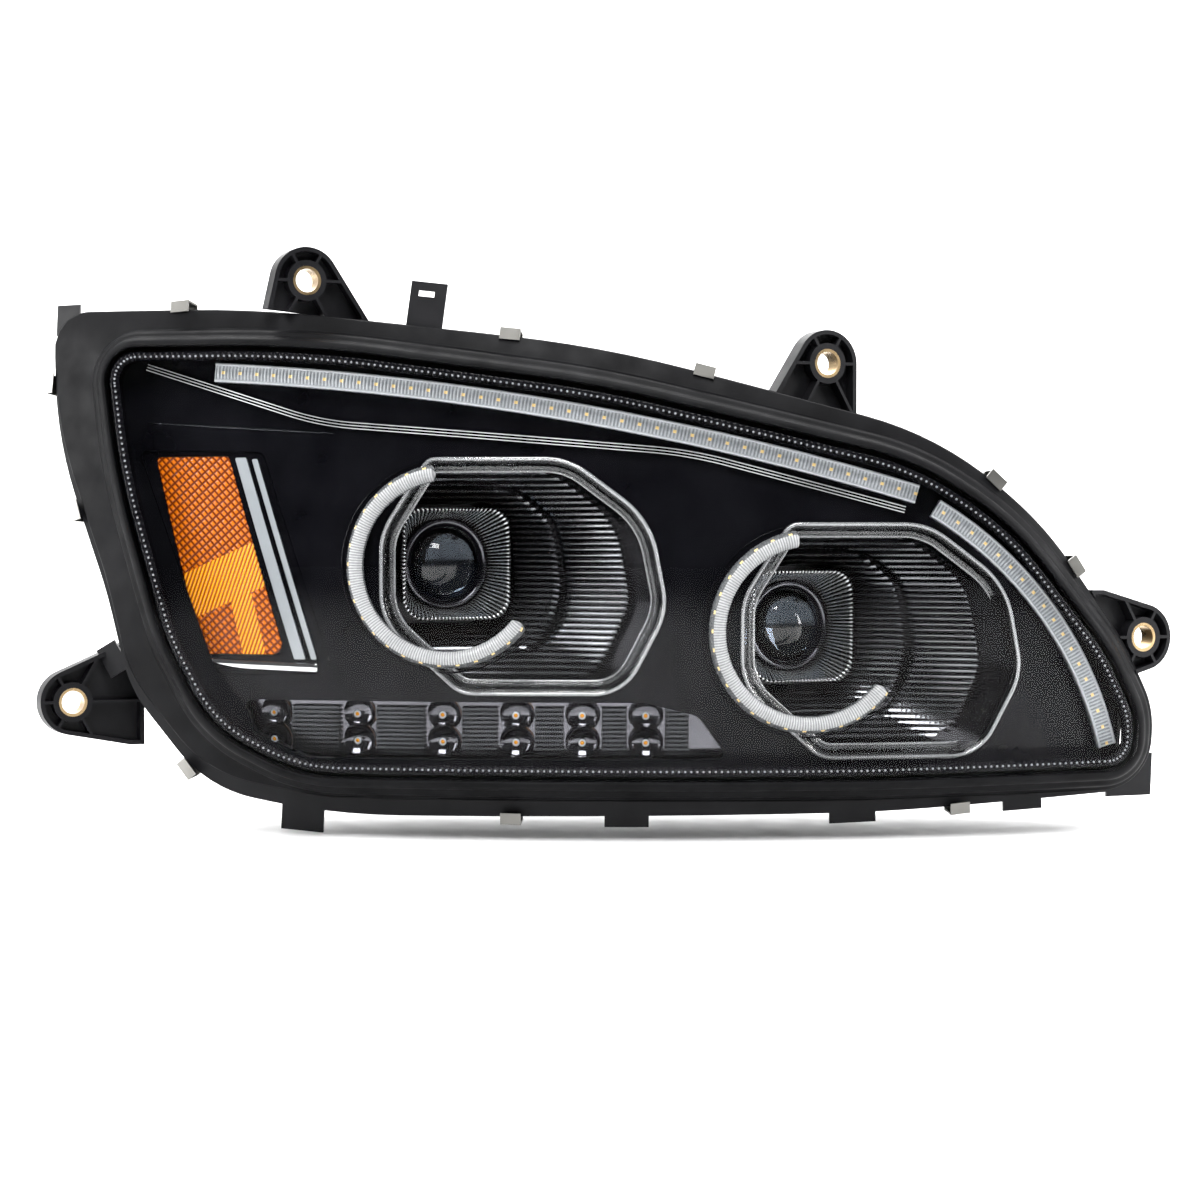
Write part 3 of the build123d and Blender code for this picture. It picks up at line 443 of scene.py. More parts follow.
# Shaded and lit copies of the amber and the yellow: painted shade in the hollows of the prisms and ribs,
# painted highlight on their crests.
AMBER_SHADED = (0.12, 0.018, 0.0005)
AMBER_LIT = (0.62, 0.14, 0.002)
YELLOW_SHADED = (0.30, 0.05, 0.001)
YELLOW_LIT = (0.90, 0.36, 0.008)
# Lines on the reflector: v less this much of u is this high along them.
SPLIT_SLOPE = 0.44
SPLIT_HEIGHT = 143
PATCH_HEIGHT = 109
# The ribbed strip that runs down between the two lower patches.
STRIP_LEAN = 0.24
STRIP_MIDDLE = -247
STRIP_HALF = 8.2


def amber_prisms():
    """Amber reflector: prisms above a slanting split, yellow ribs and two patches of prisms below."""
    look, nodes, links, shader = new_material("amber_prisms")
    u, v = face_numbers(nodes, links)

    def wave(angle, pitch):
        along = maths(nodes, links, "MULTIPLY", u, cos(radians(angle)) * 2 * pi / pitch)
        up = maths(nodes, links, "MULTIPLY", v, sin(radians(angle)) * 2 * pi / pitch)
        return maths(nodes, links, "SINE", maths(nodes, links, "ADD", along, up))

    cubes = maths(nodes, links, "MINIMUM", *(wave(angle, pitch) for angle, pitch in PRISM_WAVES))
    ribs = wave(RIB_LINE_TURN, RIB_LINE_PITCH)
    level = maths(nodes, links, "MULTIPLY_ADD", u, -SPLIT_SLOPE, v)
    lower = maths(nodes, links, "LESS_THAN", level, SPLIT_HEIGHT)
    low_part = maths(nodes, links, "LESS_THAN", level, PATCH_HEIGHT)
    leaning = maths(nodes, links, "MULTIPLY_ADD", v, STRIP_LEAN, u)
    strip = near(nodes, links, leaning, STRIP_MIDDLE, STRIP_HALF)
    patch = maths(nodes, links, "MULTIPLY", low_part, maths(nodes, links, "SUBTRACT", 1.0, strip))
    ribbed = maths(nodes, links, "MULTIPLY", lower, maths(nodes, links, "SUBTRACT", 1.0, patch))
    height = nodes.new("ShaderNodeMix")
    links.new(ribbed, height.inputs[0])
    links.new(cubes, height.inputs[2])
    links.new(ribs, height.inputs[3])
    high = height.outputs[0]
    # Painted shade and highlight: the colour runs from the shaded copy in the hollows to the lit copy on the
    # crests of the prisms and ribs.
    amber_lit_and_shaded = blend(nodes, links, scaled(nodes, links, high, 0, 1, -0.9, 0.25), AMBER_SHADED, AMBER_LIT)
    yellow_lit_and_shaded = blend(nodes, links, scaled(nodes, links, high, 0, 1, -0.6, 0.6), YELLOW_SHADED, YELLOW_LIT)
    colour = blend(nodes, links, ribbed, amber_lit_and_shaded, yellow_lit_and_shaded)
    links.new(colour, shader.inputs["Base Color"])
    # Painted glow: the reflector gives off a faint light in its own colours, though it is no lamp.
    links.new(colour, shader.inputs["Emission Color"])
    shader.inputs["Emission Strength"].default_value = 0.08
    shader.inputs["Specular IOR Level"].default_value = 0.25
    shader.inputs["Roughness"].default_value = 0.2
    bump(nodes, links, shader, high, 0.3, 0.8)
    return look


CREST_SHARPNESS = 2.5
FIN_STEPS = 6
POCKET_RIB_PITCH = 4.0
POCKET_ROWS = 44
# Ribbed bands of a pocket: where each starts and ends on the way in from the mouth, and its step.
POCKET_BANDS = [(0.18, 0.54, 0.8), (0.58, 0.86, 2.0)]


def crest_highlight_share(nodes, links, swell, mask):
    """1 on the crest of a rib and 0 in its groove, where the mask is 1."""
    rising = maths(nodes, links, "POWER", scaled(nodes, links, swell, 0, 1, -1, 1), CREST_SHARPNESS)
    return maths(nodes, links, "MULTIPLY", rising, mask)


def ribbed_metal_painted_highlights(name, swell_of, groove, crest, roughness):
    """Smoked metal with a painted highlight along its rib crests, brighter than the dark grooves between
    them.
    """
    look, nodes, links, shader = new_material(name)
    share = crest_highlight_share(nodes, links, *swell_of(nodes, links))
    fading = scaled(nodes, links, noise(nodes, links, 16), 0.35, 1)
    bright = maths(nodes, links, "MULTIPLY", share, fading)
    # Painted highlight: the colour rises from the dark groove colour to the bright crest colour along the
    # rib crests, fading in noisy patches.
    links.new(blend(nodes, links, bright, groove, crest), shader.inputs["Base Color"])
    smear = scaled(nodes, links, noise(nodes, links, 60), roughness, roughness + 0.1)
    links.new(smear, shader.inputs["Roughness"])
    shader.inputs["Metallic"].default_value = 0.85
    return look


def fin_swell(nodes, links):
    """Wave that peaks on each radial fin of a shroud."""
    column = grid_numbers(nodes, links)[1]
    wave = maths(nodes, links, "COSINE", maths(nodes, links, "MULTIPLY", column, 2 * pi / FIN_STEPS))
    return wave, 1.0


def level_swell(nodes, links):
    """Wave that peaks on each level rib of a pocket, in its two bands."""
    height = nodes.new("ShaderNodeSeparateXYZ")
    links.new(nodes.new("ShaderNodeTexCoord").outputs["Object"], height.inputs[0])
    turns = maths(nodes, links, "MULTIPLY", height.outputs["Z"], 2 * pi / (POCKET_RIB_PITCH * MM))
    row = grid_numbers(nodes, links)[0]
    outer, inner = (
        near(nodes, links, row, (start + end) / 2 * POCKET_ROWS, (end - start) / 2 * POCKET_ROWS)
        for start, end, _ in POCKET_BANDS
    )
    return maths(nodes, links, "COSINE", turns), maths(nodes, links, "ADD", outer, inner)


black = moulded("black_plastic", (0.005, 0.005, 0.006), 0.42, grain=0.04, specular=0.16)
rubber = moulded(
    "seal_rubber", (0.003, 0.003, 0.0035), 0.55,
    spread=0.1, grain=0.05, grain_scale=900, worn=2.0, specular=0.09,
)
gloss = moulded("gloss_black", (0.002, 0.002, 0.003), 0.07, spread=0.03, grain=0.001, specular=0.09)
smoked = moulded("smoked_pocket", (0.035, 0.037, 0.042), 0.16, spread=0.05, grain=0.001, metal=0.85)
# Painted highlights on the crests: near white on the shroud's fins, grey on the pocket's ribs.
finned = ribbed_metal_painted_highlights("finned_shroud", fin_swell, (0.003, 0.003, 0.004), (0.95, 0.96, 0.98), 0.12)
level_ribs = ribbed_metal_painted_highlights("ribbed_pocket", level_swell, (0.004, 0.004, 0.005), (0.30, 0.31, 0.33), 0.14)
plates = moulded("turn_plates", (0.035, 0.037, 0.041), 0.2, spread=0.05, grain=0.002, metal=0.8)
# Painted highlight: the beads of the black edge band are a light grey.
bead = moulded("edge_bead", (0.22, 0.23, 0.25), 0.16, spread=0.05, grain=0.001)
mirror = moulded("smoked_mirror", (0.09, 0.09, 0.10), 0.12, spread=0.05, grain=0.003, metal=1.0)
steel = moulded("zinc_steel", (0.24, 0.235, 0.22), 0.34, grain=0.01, metal=1.0, worn=1.3)
brass = moulded("bush_brass", (0.42, 0.30, 0.16), 0.3, grain=0.01, metal=1.0, worn=1.4)
chrome = moulded("bright_ledge", (0.75, 0.75, 0.76), 0.12, spread=0.06, grain=0.003, metal=1.0, worn=1.1)
aluminium = moulded("cast_aluminium", (0.22, 0.22, 0.225), 0.4, grain=0.05, metal=1.0, worn=1.2)
dark_metal = moulded("dark_metal", (0.03, 0.03, 0.033), 0.35, grain=0.01, metal=0.7)
board = moulded("circuit_board", (0.01, 0.05, 0.02), 0.4, grain=0.01)
nylon = moulded("natural_nylon", (0.36, 0.355, 0.33), 0.4, grain=0.02, worn=1.15)
white = moulded("white_pipe", (0.26, 0.28, 0.295), 0.16, spread=0.06, grain=0.004, worn=1.15)
amber = moulded("amber_dome", (0.95, 0.40, 0.02), 0.15, grain=0.002, worn=1.05)
led_white = moulded("led_white", (0.85, 0.86, 0.88), 0.25, grain=0.004, worn=1.05)
clear_skin = see_through("clear_cover", 0.01, shine=0.005)
clear_wall = see_through("clear_wall", 0.02, haze=0.0, shine=0.02)
# Milky haze in the accent ring's beads: partly a milky bead, partly painted highlight that brightens its
# edges.
clear_bead = see_through("clear_bead", 0.05, haze=0.30, shine=0.12)
glass = solid_glass("projector_glass", (0.72, 0.84, 1.0))

# Finish of each CAD node that shows as it is; a name's beam is left off.
NODE_LOOKS = {
    "housing": black, "outer_lens": clear_skin, "lens_seal": rubber,
    "upper_outboard_ear": black, "upper_inboard_ear": black, "inboard_ear": black,
    "lower_outboard_ear": black, "mount_bushes": brass, "spring_clips": steel, "bezel": gloss,
    "daytime_led_strips": board, "side_pocket": gloss, "side_reflector": amber_prisms(),
    "side_light_pipes": white, "side_marker_board": board, "turn_reflectors": mirror,
    "turn_rib_plates": plates, "turn_board": board, "pivot_pins": steel, "pivot_brackets": black,
    "aim_gearcases": nylon, "led_driver_box": aluminium, "connector_inlet": black,
    "connector_pins": brass, "breather_vents": rubber, "driver_box_screws": steel,
    "pocket": smoked, "carrier": dark_metal, "lens": glass, "lens_holder": gloss,
    # Painted shade: the projector body, a reflector bowl, and the cutoff shield take the gloss black, so the
    # inside seen through the lens is dark.
    "projector_body": gloss, "led_board": gloss, "heat_sink": aluminium, "screws": steel,
    "cutoff_shield": gloss, "aim_screw": steel, "aim_knob": nylon, "access_boot": rubber,
}


def dress_nodes():
    """Gives every CAD node its finish."""
    for name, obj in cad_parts.items():
        kind = name.replace("low_beam_", "").replace("high_beam_", "")
        look = NODE_LOOKS.get(kind)
        if look is None:
            continue
        if not obj.material_slots:
            obj.data.materials.append(look)
        for slot in obj.material_slots:
            slot.material = look


# ---- rim ----
# Section of the gasket's ridge and lip: distance out from the lens, depth below the skin.
GASKET_SECTION = [
    (4, 25.8), (4, 22), (0.6, 20), (0.6, 5), (1.2, 3.6), (2.4, 3.1), (4.6, 3.6), (6.2, 5.2),
    (6.9, 8), (7.6, 10.6), (9.2, 11.3), (10.8, 11.9), (11.9, 14), (12.3, 17.5), (13.2, 19.6), (14.6, 20.1),
]
FLANGE_TOP = 20.1
FLANGE_FOOT = 25.8
FLANGE_IN = 0.6
FLANGE_LEAST = 15.6


def reach_to(path, spot, arrow):
    """Distance from a spot along an arrow to where it meets a closed path."""
    best = None
    for a, b in zip(path, path[1:] + path[:1]):
        run = b - a
        cross = arrow.cross(run)
        if abs(cross) < 1e-9:
            continue
        along = (a - spot).cross(run) / cross
        part = (a - spot).cross(arrow) / cross
        if along > 0 and 0 <= part <= 1 and (best is None or along < best):
            best = along
    return best


def gasket():
    """Rubber rim with a rounded ridge and lip and a flat flange out to the rim."""
    lens = rounded(LENS, 3)
    rim = rounded(RIM, 5)
    lifted = [spot + Vector((0, GASKET_LIFT)) for spot in rim]
    columns = []
    for spot, left in zip(lens, sideways(lens)):
        edge = min(reach_to(path, spot, left) for path in (rim, lifted)) - FLANGE_IN
        wide = max(edge, FLANGE_LEAST)
        section = GASKET_SECTION + [(wide - 1, FLANGE_TOP), (wide, FLANGE_TOP + 0.9), (wide, FLANGE_FOOT)]
        columns.append([on_skin(*(spot + left * out), depth) for out, depth in section])
    obj = surface("gasket_rubber", columns, loop_rows=True)
    finish_piece(obj, "lamp", "seal_rubber", rubber, "gasket")


BAND_PITCH = 4.1
BAND_STEPS = 4
BAND_LIFT = 0.35
BEAD_IN = 6.4
BEAD_DEPTH = 6.5
# Half section of a bead: radius and height.
BEAD_DOME = [(0.8, 0), (0.72, 0.45), (0.42, 0.75), (0.05, 0.85)]


def edge_band():
    """Cross-ribbed band under the edge of the lens, with a row of beads coloured light grey as painted
    highlights.
    """
    lens = rounded(LENS, BAND_PITCH / BAND_STEPS)
    arrows = sideways(lens)
    rows = []
    for k, (spot, left) in enumerate(zip(lens, arrows)):
        lift = BAND_LIFT * cos(2 * pi * k / BAND_STEPS)
        section = [(-3.4, 8.6), (-3.4, 5.4 - lift), (-5.4, 6.2 - lift), (-9.6, 8.2 - lift), (-9.6, 8.9)]
        rows.append([on_skin(*(spot + left * out), depth) for out, depth in section])
    band = surface("edge_band", rows, loop_rows=True)
    finish_piece(band, "lamp", "gloss_black", gloss)
    spots = [spot - left * BEAD_IN for spot, left in list(zip(lens, arrows))[::BAND_STEPS]]
    beads = many("edge_beads", [
        lathe(on_skin(*spot, BEAD_DEPTH), outward(*spot), BEAD_DOME, turns=8) for spot in spots
    ])
    finish_piece(beads, "lamp", "gloss_black", bead)


# ---- light guides ----
HALO_RADIUS = 63
HALO_TUBE = 6
HALO_DEPTH = 20.7
HALO_START = 97
HALO_SWEEP = 226
RIB_PITCH = 1.8
RIB_STEPS = 4
HALO_COLUMNS = 24
HALO_GROOVE = 0.22
# Columns of the halo's mesh, counted round its tube, that hold the LEDs and the ribbed face.
HALO_LED_COLUMN = 3
HALO_LED_HALF = 0.5
HALO_RIBBED_COLUMNS = (3.6, 10.5)
HALO_BASE = (0.56, 0.57, 0.58)
# Colour of the halo's tube off its ribbed face: partly a greyer clear band, partly painted shade on its
# sides.
HALO_SIDE_TONE_AND_SHADE = (0.12, 0.125, 0.13)


def halo(beam):
    """C-shaped guide with fine cross ribs and rounded ends."""
    centre = on_skin(*HALOS[beam], HALO_DEPTH)
    out = outward(*HALOS[beam])
    right = (U_AXIS - out * U_AXIS.dot(out)).normalized()
    up = out.cross(right)
    length = HALO_RADIUS * radians(HALO_SWEEP)
    count = round(length / RIB_PITCH) * RIB_STEPS
    rows = []
    for k in range(count + 1):
        angle = radians(HALO_START + HALO_SWEEP * k / count)
        radial = right * cos(angle) + up * sin(angle)
        size = HALO_TUBE - HALO_GROOVE * (1 - cos(2 * pi * k / RIB_STEPS))
        from_end = min(k, count - k) * length / count
        if from_end < HALO_TUBE / 2:
            size *= sqrt(max(0.02, 1 - (1 - 2 * from_end / HALO_TUBE) ** 2))
        rows.append([
            centre + (radial * (HALO_RADIUS + size * cos(t)) + out * (size * sin(t))) * MM
            for t in (2 * pi * c / HALO_COLUMNS for c in range(HALO_COLUMNS))
        ])
    obj = surface(f"{beam}_halo_guide", rows, caps=True)
    look = light_guide(
        f"{beam}_halo_look", LED_PITCH / RIB_PITCH * RIB_STEPS, HALO_LED_COLUMN, HALO_LED_HALF,
        HALO_BASE, HALO_SIDE_TONE_AND_SHADE, HALO_RIBBED_COLUMNS,
    )
    finish_piece(obj, "lamp", "white_guide", look, f"{beam}_halo")


SEAT_RADIUS = 72
SEAT_STEPS = 160
SEAT_EARLY = 6
LINE_SIZE = 0.9
LINE_END_SIZE = 0.02
BEZEL_FRONT = 27


def seat_line(beam):
    """Thin raised line on the bezel that follows the outside of a halo."""
    u, v = HALOS[beam]
    rows = []
    for k in range(SEAT_STEPS + 1):
        angle = radians(HALO_START - SEAT_EARLY + (HALO_SWEEP + SEAT_EARLY) * k / SEAT_STEPS)
        across = Vector((cos(angle), sin(angle)))
        size = LINE_SIZE * sin(pi * k / SEAT_STEPS) ** 0.5 + LINE_END_SIZE
        middle = Vector((u, v)) + across * SEAT_RADIUS
        section = [(size * cos(t), 26.8 - size * sin(t)) for t in (pi * c / 6 for c in range(7))]
        rows.append([on_skin(*(middle + across * out), depth) for out, depth in section])
    obj = surface(f"{beam}_seat_line", rows, caps=True)
    finish_piece(obj, "lamp", "gloss_black", gloss)


# Half section of a daytime guide: distance from its middle, depth, and 1 where it is ribbed.
GUIDE_SECTION = [
    (6.5, 33, 0), (6.5, 18.6, 0), (6, 18.1, 0), (5.2, 18.1, 0), (4.8, 18.9, 0), (4.4, 19.4, 1),
    (1.5, 19.1, 1),
]
GUIDE_RIB_PITCH = 2.4
GUIDE_RIB_LIFT = 0.4
# Columns of the guide's mesh, counted across it, that hold the LEDs and the ribbed band.
GUIDE_LED_COLUMN = 6.5
GUIDE_LED_HALF = 0.35
GUIDE_RIBBED_COLUMNS = (4.6, 8.4)
GUIDE_BASE = (0.50, 0.53, 0.56)
# Colour of the guide off its ribbed band: partly a greyer clear band, partly painted shade on its sides.
GUIDE_SIDE_TONE_AND_SHADE = (0.42, 0.44, 0.46)


def daytime_guide(name, points):
    """Long guide: a ribbed band between two smooth edges."""
    path = arc_through(points, GUIDE_RIB_PITCH / RIB_STEPS)
    whole = GUIDE_SECTION + [(-across, depth, rib) for across, depth, rib in reversed(GUIDE_SECTION)]
    rows = []
    for k, (spot, left) in enumerate(zip(path, sideways(path, closed=False))):
        lift = GUIDE_RIB_LIFT * cos(2 * pi * k / RIB_STEPS)
        rows.append([
            on_skin(*(spot + left * across), depth - rib * lift) for across, depth, rib in whole
        ])
    obj = surface(f"{name}_ribbed", rows, caps=True)
    look = light_guide(
        f"{name}_look", LED_PITCH / GUIDE_RIB_PITCH * RIB_STEPS, GUIDE_LED_COLUMN, GUIDE_LED_HALF,
        GUIDE_BASE, GUIDE_SIDE_TONE_AND_SHADE, GUIDE_RIBBED_COLUMNS,
    )
    finish_piece(obj, "lamp", "white_guide", look, name)


CREST_COUNT = 3
# Painted highlight colour of the eyebrow's crest lines.
CREST_PAINTED_HIGHLIGHT = (0.72, 0.73, 0.75)
STRIP_LOOK = (0.004, 0.004, 0.005)
EYEBROW_STEPS = 18
EYEBROW_HALF = 3
EYEBROW_TOP = 24.2
EYEBROW_RIDGE = 1.8
EYEBROW_FOOT = 26.8


def crest_lines(steps):
    """Dark polished strip with a painted highlight line along each of three crests."""
    look, nodes, links, shader = new_material("crest_lines")
    column = grid_numbers(nodes, links)[1]
    span = steps / CREST_COUNT
    crest = near(nodes, links, maths(nodes, links, "MODULO", column, span), span / 2, 0.9)
    within = maths(nodes, links, "LESS_THAN", column, steps + 0.01)
    line = maths(nodes, links, "MULTIPLY", crest, within)
    fading = scaled(nodes, links, noise(nodes, links, 14), 0.25, 1)
    bright = maths(nodes, links, "MULTIPLY", line, fading)
    # Painted highlight: bright lines along the crests, fading with noise, on the dark strip.
    links.new(blend(nodes, links, bright, STRIP_LOOK, CREST_PAINTED_HIGHLIGHT), shader.inputs["Base Color"])
    links.new(scaled(nodes, links, noise(nodes, links, 60), 0.06, 0.16), shader.inputs["Roughness"])
    return look


def eyebrow():
    """Three ridges side by side on a dark strip, each with a painted highlight line along its crest."""
    path = rounded(EYEBROW, 2, closed=False)
    rows = []
    for spot, left in zip(path, sideways(path, closed=False)):
        row = []
        for k in range(EYEBROW_STEPS + 1):
            across = EYEBROW_HALF - 2 * EYEBROW_HALF * k / EYEBROW_STEPS
            ridge = EYEBROW_RIDGE * abs(sin(pi * k * CREST_COUNT / EYEBROW_STEPS)) ** 0.7
            row.append(on_skin(*(spot + left * across), EYEBROW_TOP - ridge))
        row += [on_skin(*(spot + left * side * EYEBROW_HALF), EYEBROW_FOOT) for side in (-1, 1)]
        rows.append(row)
    obj = surface("eyebrow_ridges", rows, caps=True)
    finish_piece(obj, "lamp", "clear_trim", crest_lines(EYEBROW_STEPS), "eyebrow_trim")


# ---- beam units ----
RING_FRONT = 26.2
RING_BACK = 14
# Front and back beads: how far in from the mouth, depth and radius.
RING_BEADS = [(1.8, RING_FRONT, 1.3), (10, RING_FRONT + RING_BACK, 0.9)]
# Section of the wall between them: how far in and depth.
RING_WALL = [
    (1.0, RING_FRONT + 0.2), (2.2, RING_FRONT + 0.2),
    (10.4, RING_FRONT + RING_BACK), (9.2, RING_FRONT + RING_BACK),
]
BEAD_STEPS = 8


def accent_ring(beam):
    """Clear wall round the mouth of a pod, with a milky bead at its front and back edges, partly painted
    highlight.
    """
    u, v = HALOS[beam]
    mouth = [(u + a, v + b, r) for a, b, r in POD_OPENING]
    path = rounded(mouth, 2.5)
    rowsets = [[] for _ in RING_BEADS]
    wall = []
    for spot, left in zip(path, sideways(path)):
        normal = outward(*spot)
        across = (on_skin(*(spot + left), 0) - on_skin(*spot, 0)).normalized()
        for rows, (inset, depth, radius) in zip(rowsets, RING_BEADS):
            middle = on_skin(*(spot - left * inset), depth)
            rows.append([
                middle + (across * cos(t) + normal * sin(t)) * (radius * MM)
                for t in (2 * pi * c / BEAD_STEPS for c in range(BEAD_STEPS))
            ])
        wall.append([on_skin(*(spot - left * inset), depth) for inset, depth in RING_WALL])
    beads = many(f"{beam}_ring_beads", rowsets, loop_rows=True)
    finish_piece(beads, "lamp", "clear_trim", clear_bead, f"{beam}_accent_ring")
    sheet = surface(f"{beam}_ring_wall", wall, loop_rows=True)
    finish_piece(sheet, "lamp", "clear_trim", clear_wall)


# Throat of a pocket, where its mouth lies beside the halo, and how far back both are.
POD_THROAT = [
    (-28, 44, 14), (28, 44, 14), (44, 28, 14), (44, -28, 14), (28, -44, 14), (-28, -44, 14),
    (-44, -28, 14), (-44, 28, 14),
]
MOUTH_SHIFT = (54, -7)
MOUTH_DEPTH = 39
THROAT_BACK = 22
POCKET_INSET = 2.8
POCKET_RIB_STAND = 1.1
POCKET_COLUMNS = 900


def pocket_loops(beam, count):
    """Matching points round the mouth and the throat of a pocket, by direction from its middle."""
    u, v = HALOS[beam]
    normal = outward(u + MOUTH_SHIFT[0], v + MOUTH_SHIFT[1])
    middle = on_skin(u + MOUTH_SHIFT[0], v + MOUTH_SHIFT[1], MOUTH_DEPTH)
    right = (U_AXIS - normal * U_AXIS.dot(normal)).normalized()
    up = normal.cross(right)
    tip = lens_tip(beam) + Vector((0, THROAT_BACK * MM, 0))
    mouth = rounded(POD_OPENING, 1.0)
    throat = rounded(POD_THROAT, 1.0)
    shift = Vector(MOUTH_SHIFT)
    outer = [spot - left * POCKET_INSET - shift for spot, left in zip(mouth, sideways(mouth))]
    inner = [spot - left * POCKET_INSET for spot, left in zip(throat, sideways(throat))]
    loops = []
    ends = ((outer, middle, right, up), (inner, tip, Vector((1, 0, 0)), V_AXIS))
    for path, start, across, rise in ends:
        spots = []
        for k in range(count):
            arrow = Vector((cos(2 * pi * k / count), sin(2 * pi * k / count)))
            reach = reach_to(path, Vector((0, 0)), arrow)
            spots.append(start + (across * (arrow.x * reach) + rise * (arrow.y * reach)) * MM)
        loops.append(spots)
    return loops, middle, tip


def pocket(beam):
    """Reflector pocket with level ribs in two bands along its walls."""
    (outer, inner), middle, tip = pocket_loops(beam, POCKET_COLUMNS)
    rows = []
    for k in range(POCKET_ROWS + 1):
        part = k / POCKET_ROWS
        steps = [step for start, end, step in POCKET_BANDS if start <= part <= end]
        centre = middle.lerp(tip, part)
        row = []
        for a, b in zip(outer, inner):
            spot = a.lerp(b, part)
            wave = 0.5 + 0.5 * cos(2 * pi * spot.z / (POCKET_RIB_PITCH * MM))
            stand = steps[0] + POCKET_RIB_STAND * wave if steps else 0
            row.append(spot + (centre - spot).normalized() * (stand * MM))
        rows.append(row)
    obj = surface(f"{beam}_ribbed_pocket", rows)
    finish_piece(obj, "lamp", "gloss_black", level_ribs, f"{beam}_pocket")


SHROUD_FRONT = -14
SHROUD_REAR = 12
SHROUD_HALF_WIDTH = 38.4
SHROUD_HALF_HEIGHT = 37.4
SHROUD_CORNER = 14.4
SHROUD_REAR_RADIUS = 31.6
SHROUD_WALL = 1.5
FINS = 96
FIN_STAND = 1.3
# How far along from rear to front, how much the fins stand, and 1 for the outer skin.
SHROUD_STATIONS = [
    (0, 0.3, 0), (0.2, 0.9, 0), (0.55, 1, 0), (0.9, 1, 0), (0.97, 0.9, 0), (1, 0.2, 0),
    (1, 0, 1), (0.5, 0, 1), (0, 0, 1),
]


def square_reach(angle, half_width, half_height, radius):
    """Distance from the middle of a rounded rectangle to its edge."""
    c, s = abs(cos(angle)), abs(sin(angle))
    reach = min(half_width / max(c, 1e-6), half_height / max(s, 1e-6))
    corner = Vector((half_width - radius, half_height - radius))
    if reach * c > corner.x and reach * s > corner.y:
        along = corner.x * c + corner.y * s
        reach = along + sqrt(max(0, along**2 - corner.length_squared + radius**2))
    return reach


def shroud(beam):
    """Square flare with radial fins inside."""
    tip = lens_tip(beam)
    turns = FINS * FIN_STEPS
    rows = []
    for part, stand, outer in SHROUD_STATIONS:
        back = SHROUD_REAR + (SHROUD_FRONT - SHROUD_REAR) * part
        row = []
        for k in range(turns):
            angle = 2 * pi * k / turns
            front = square_reach(angle, SHROUD_HALF_WIDTH, SHROUD_HALF_HEIGHT, SHROUD_CORNER)
            widening = (front - SHROUD_REAR_RADIUS) * part
            fin = FIN_STAND * stand * (0.5 + 0.5 * cos(2 * pi * k / FIN_STEPS))
            reach = SHROUD_REAR_RADIUS + widening + SHROUD_WALL * outer - fin
            row.append(tip + Vector((cos(angle) * reach, back, sin(angle) * reach)) * MM)
        rows.append(row)
    obj = surface(f"{beam}_finned_shroud", rows, loop_rows=True)
    finish_piece(obj, f"{beam}_module", "gloss_black", finned, f"{beam}_shroud")


COLLAR_TEETH = 120
COLLAR_TOOTH = 0.35
# Section of the collar: radius and distance behind the lens tip.
COLLAR_SECTION = [(27.4, 9.4), (27.6, 7.4), (28.6, 6.6), (30.4, 6.8), (31.1, 7.6), (31.1, 9.4)]


def lens_collar(beam):
    """Fine-toothed ring round the foot of the projector lens."""
    tip = lens_tip(beam)
    rows = []
    for r, back in COLLAR_SECTION:
        row = []
        for k in range(COLLAR_TEETH * 2):
            angle = pi * k / COLLAR_TEETH
            tooth = COLLAR_TOOTH * (k % 2)
            row.append(tip + Vector((cos(angle) * r, back - tooth, sin(angle) * r)) * MM)
        rows.append(row)
    obj = surface(f"{beam}_lens_collar", rows, loop_rows=True)
    finish_piece(obj, f"{beam}_module", "dark_metal", mirror)


# ---- turn signal and side ----

LED_DEPTH = 46
LED_TURNS = 20
# Half sections of an LED: radius and height.
LED_CUP = [(2.4, -4), (2.4, 3.6), (2.1, 4), (1.6, 4), (1.45, 3.2), (1.4, 2.6)]
LED_DOME = [(1.38, 2.6), (1.3, 3.4), (0.9, 4.0), (0.4, 4.25), (0.02, 4.3)]


def turn_leds():
    """White cups with an amber dome in each."""
    spots = [(u, v) for u in TURN_COLUMNS for v in TURN_ROWS]

    def one_each(name, section):
        return many(name, [
            lathe(on_skin(u, v, LED_DEPTH), outward(u, v), section, LED_TURNS) for u, v in spots
        ])

    finish_piece(one_each("turn_led_cups", LED_CUP), "lamp", "amber_led", led_white, "turn_leds")
    finish_piece(one_each("turn_led_domes", LED_DOME), "lamp", "amber_led", amber)


CREASE = [(-316, 121), (-180, 112)]
CREASE_STEPS = 60
LEDGE = [(-270, -45.5), (-193, -48)]
LEDGE_STEPS = 40
# Section of the ledge: height on the face and depth.
LEDGE_SECTION = [(3.2, 32), (3.2, 28.6), (2.4, 27.8), (-2.4, 27.8), (-3.2, 28.6), (-3.2, 32)]


def crease():
    """Fine crease of the bezel above the side reflector, fading at both ends."""
    left, right = (Vector(end) for end in CREASE)
    rows = []
    for k in range(CREASE_STEPS + 1):
        spot = left.lerp(right, k / CREASE_STEPS)
        size = LINE_SIZE * sin(pi * k / CREASE_STEPS) ** 0.5 + LINE_END_SIZE
        top = BEZEL_FRONT - size
        section = [(size, BEZEL_FRONT), (size * 0.5, top), (-size * 0.5, top), (-size, BEZEL_FRONT)]
        rows.append([on_skin(spot.x, spot.y + up, depth) for up, depth in section])
    obj = surface("bezel_crease", rows, caps=True)
    finish_piece(obj, "lamp", "gloss_black", smoked)


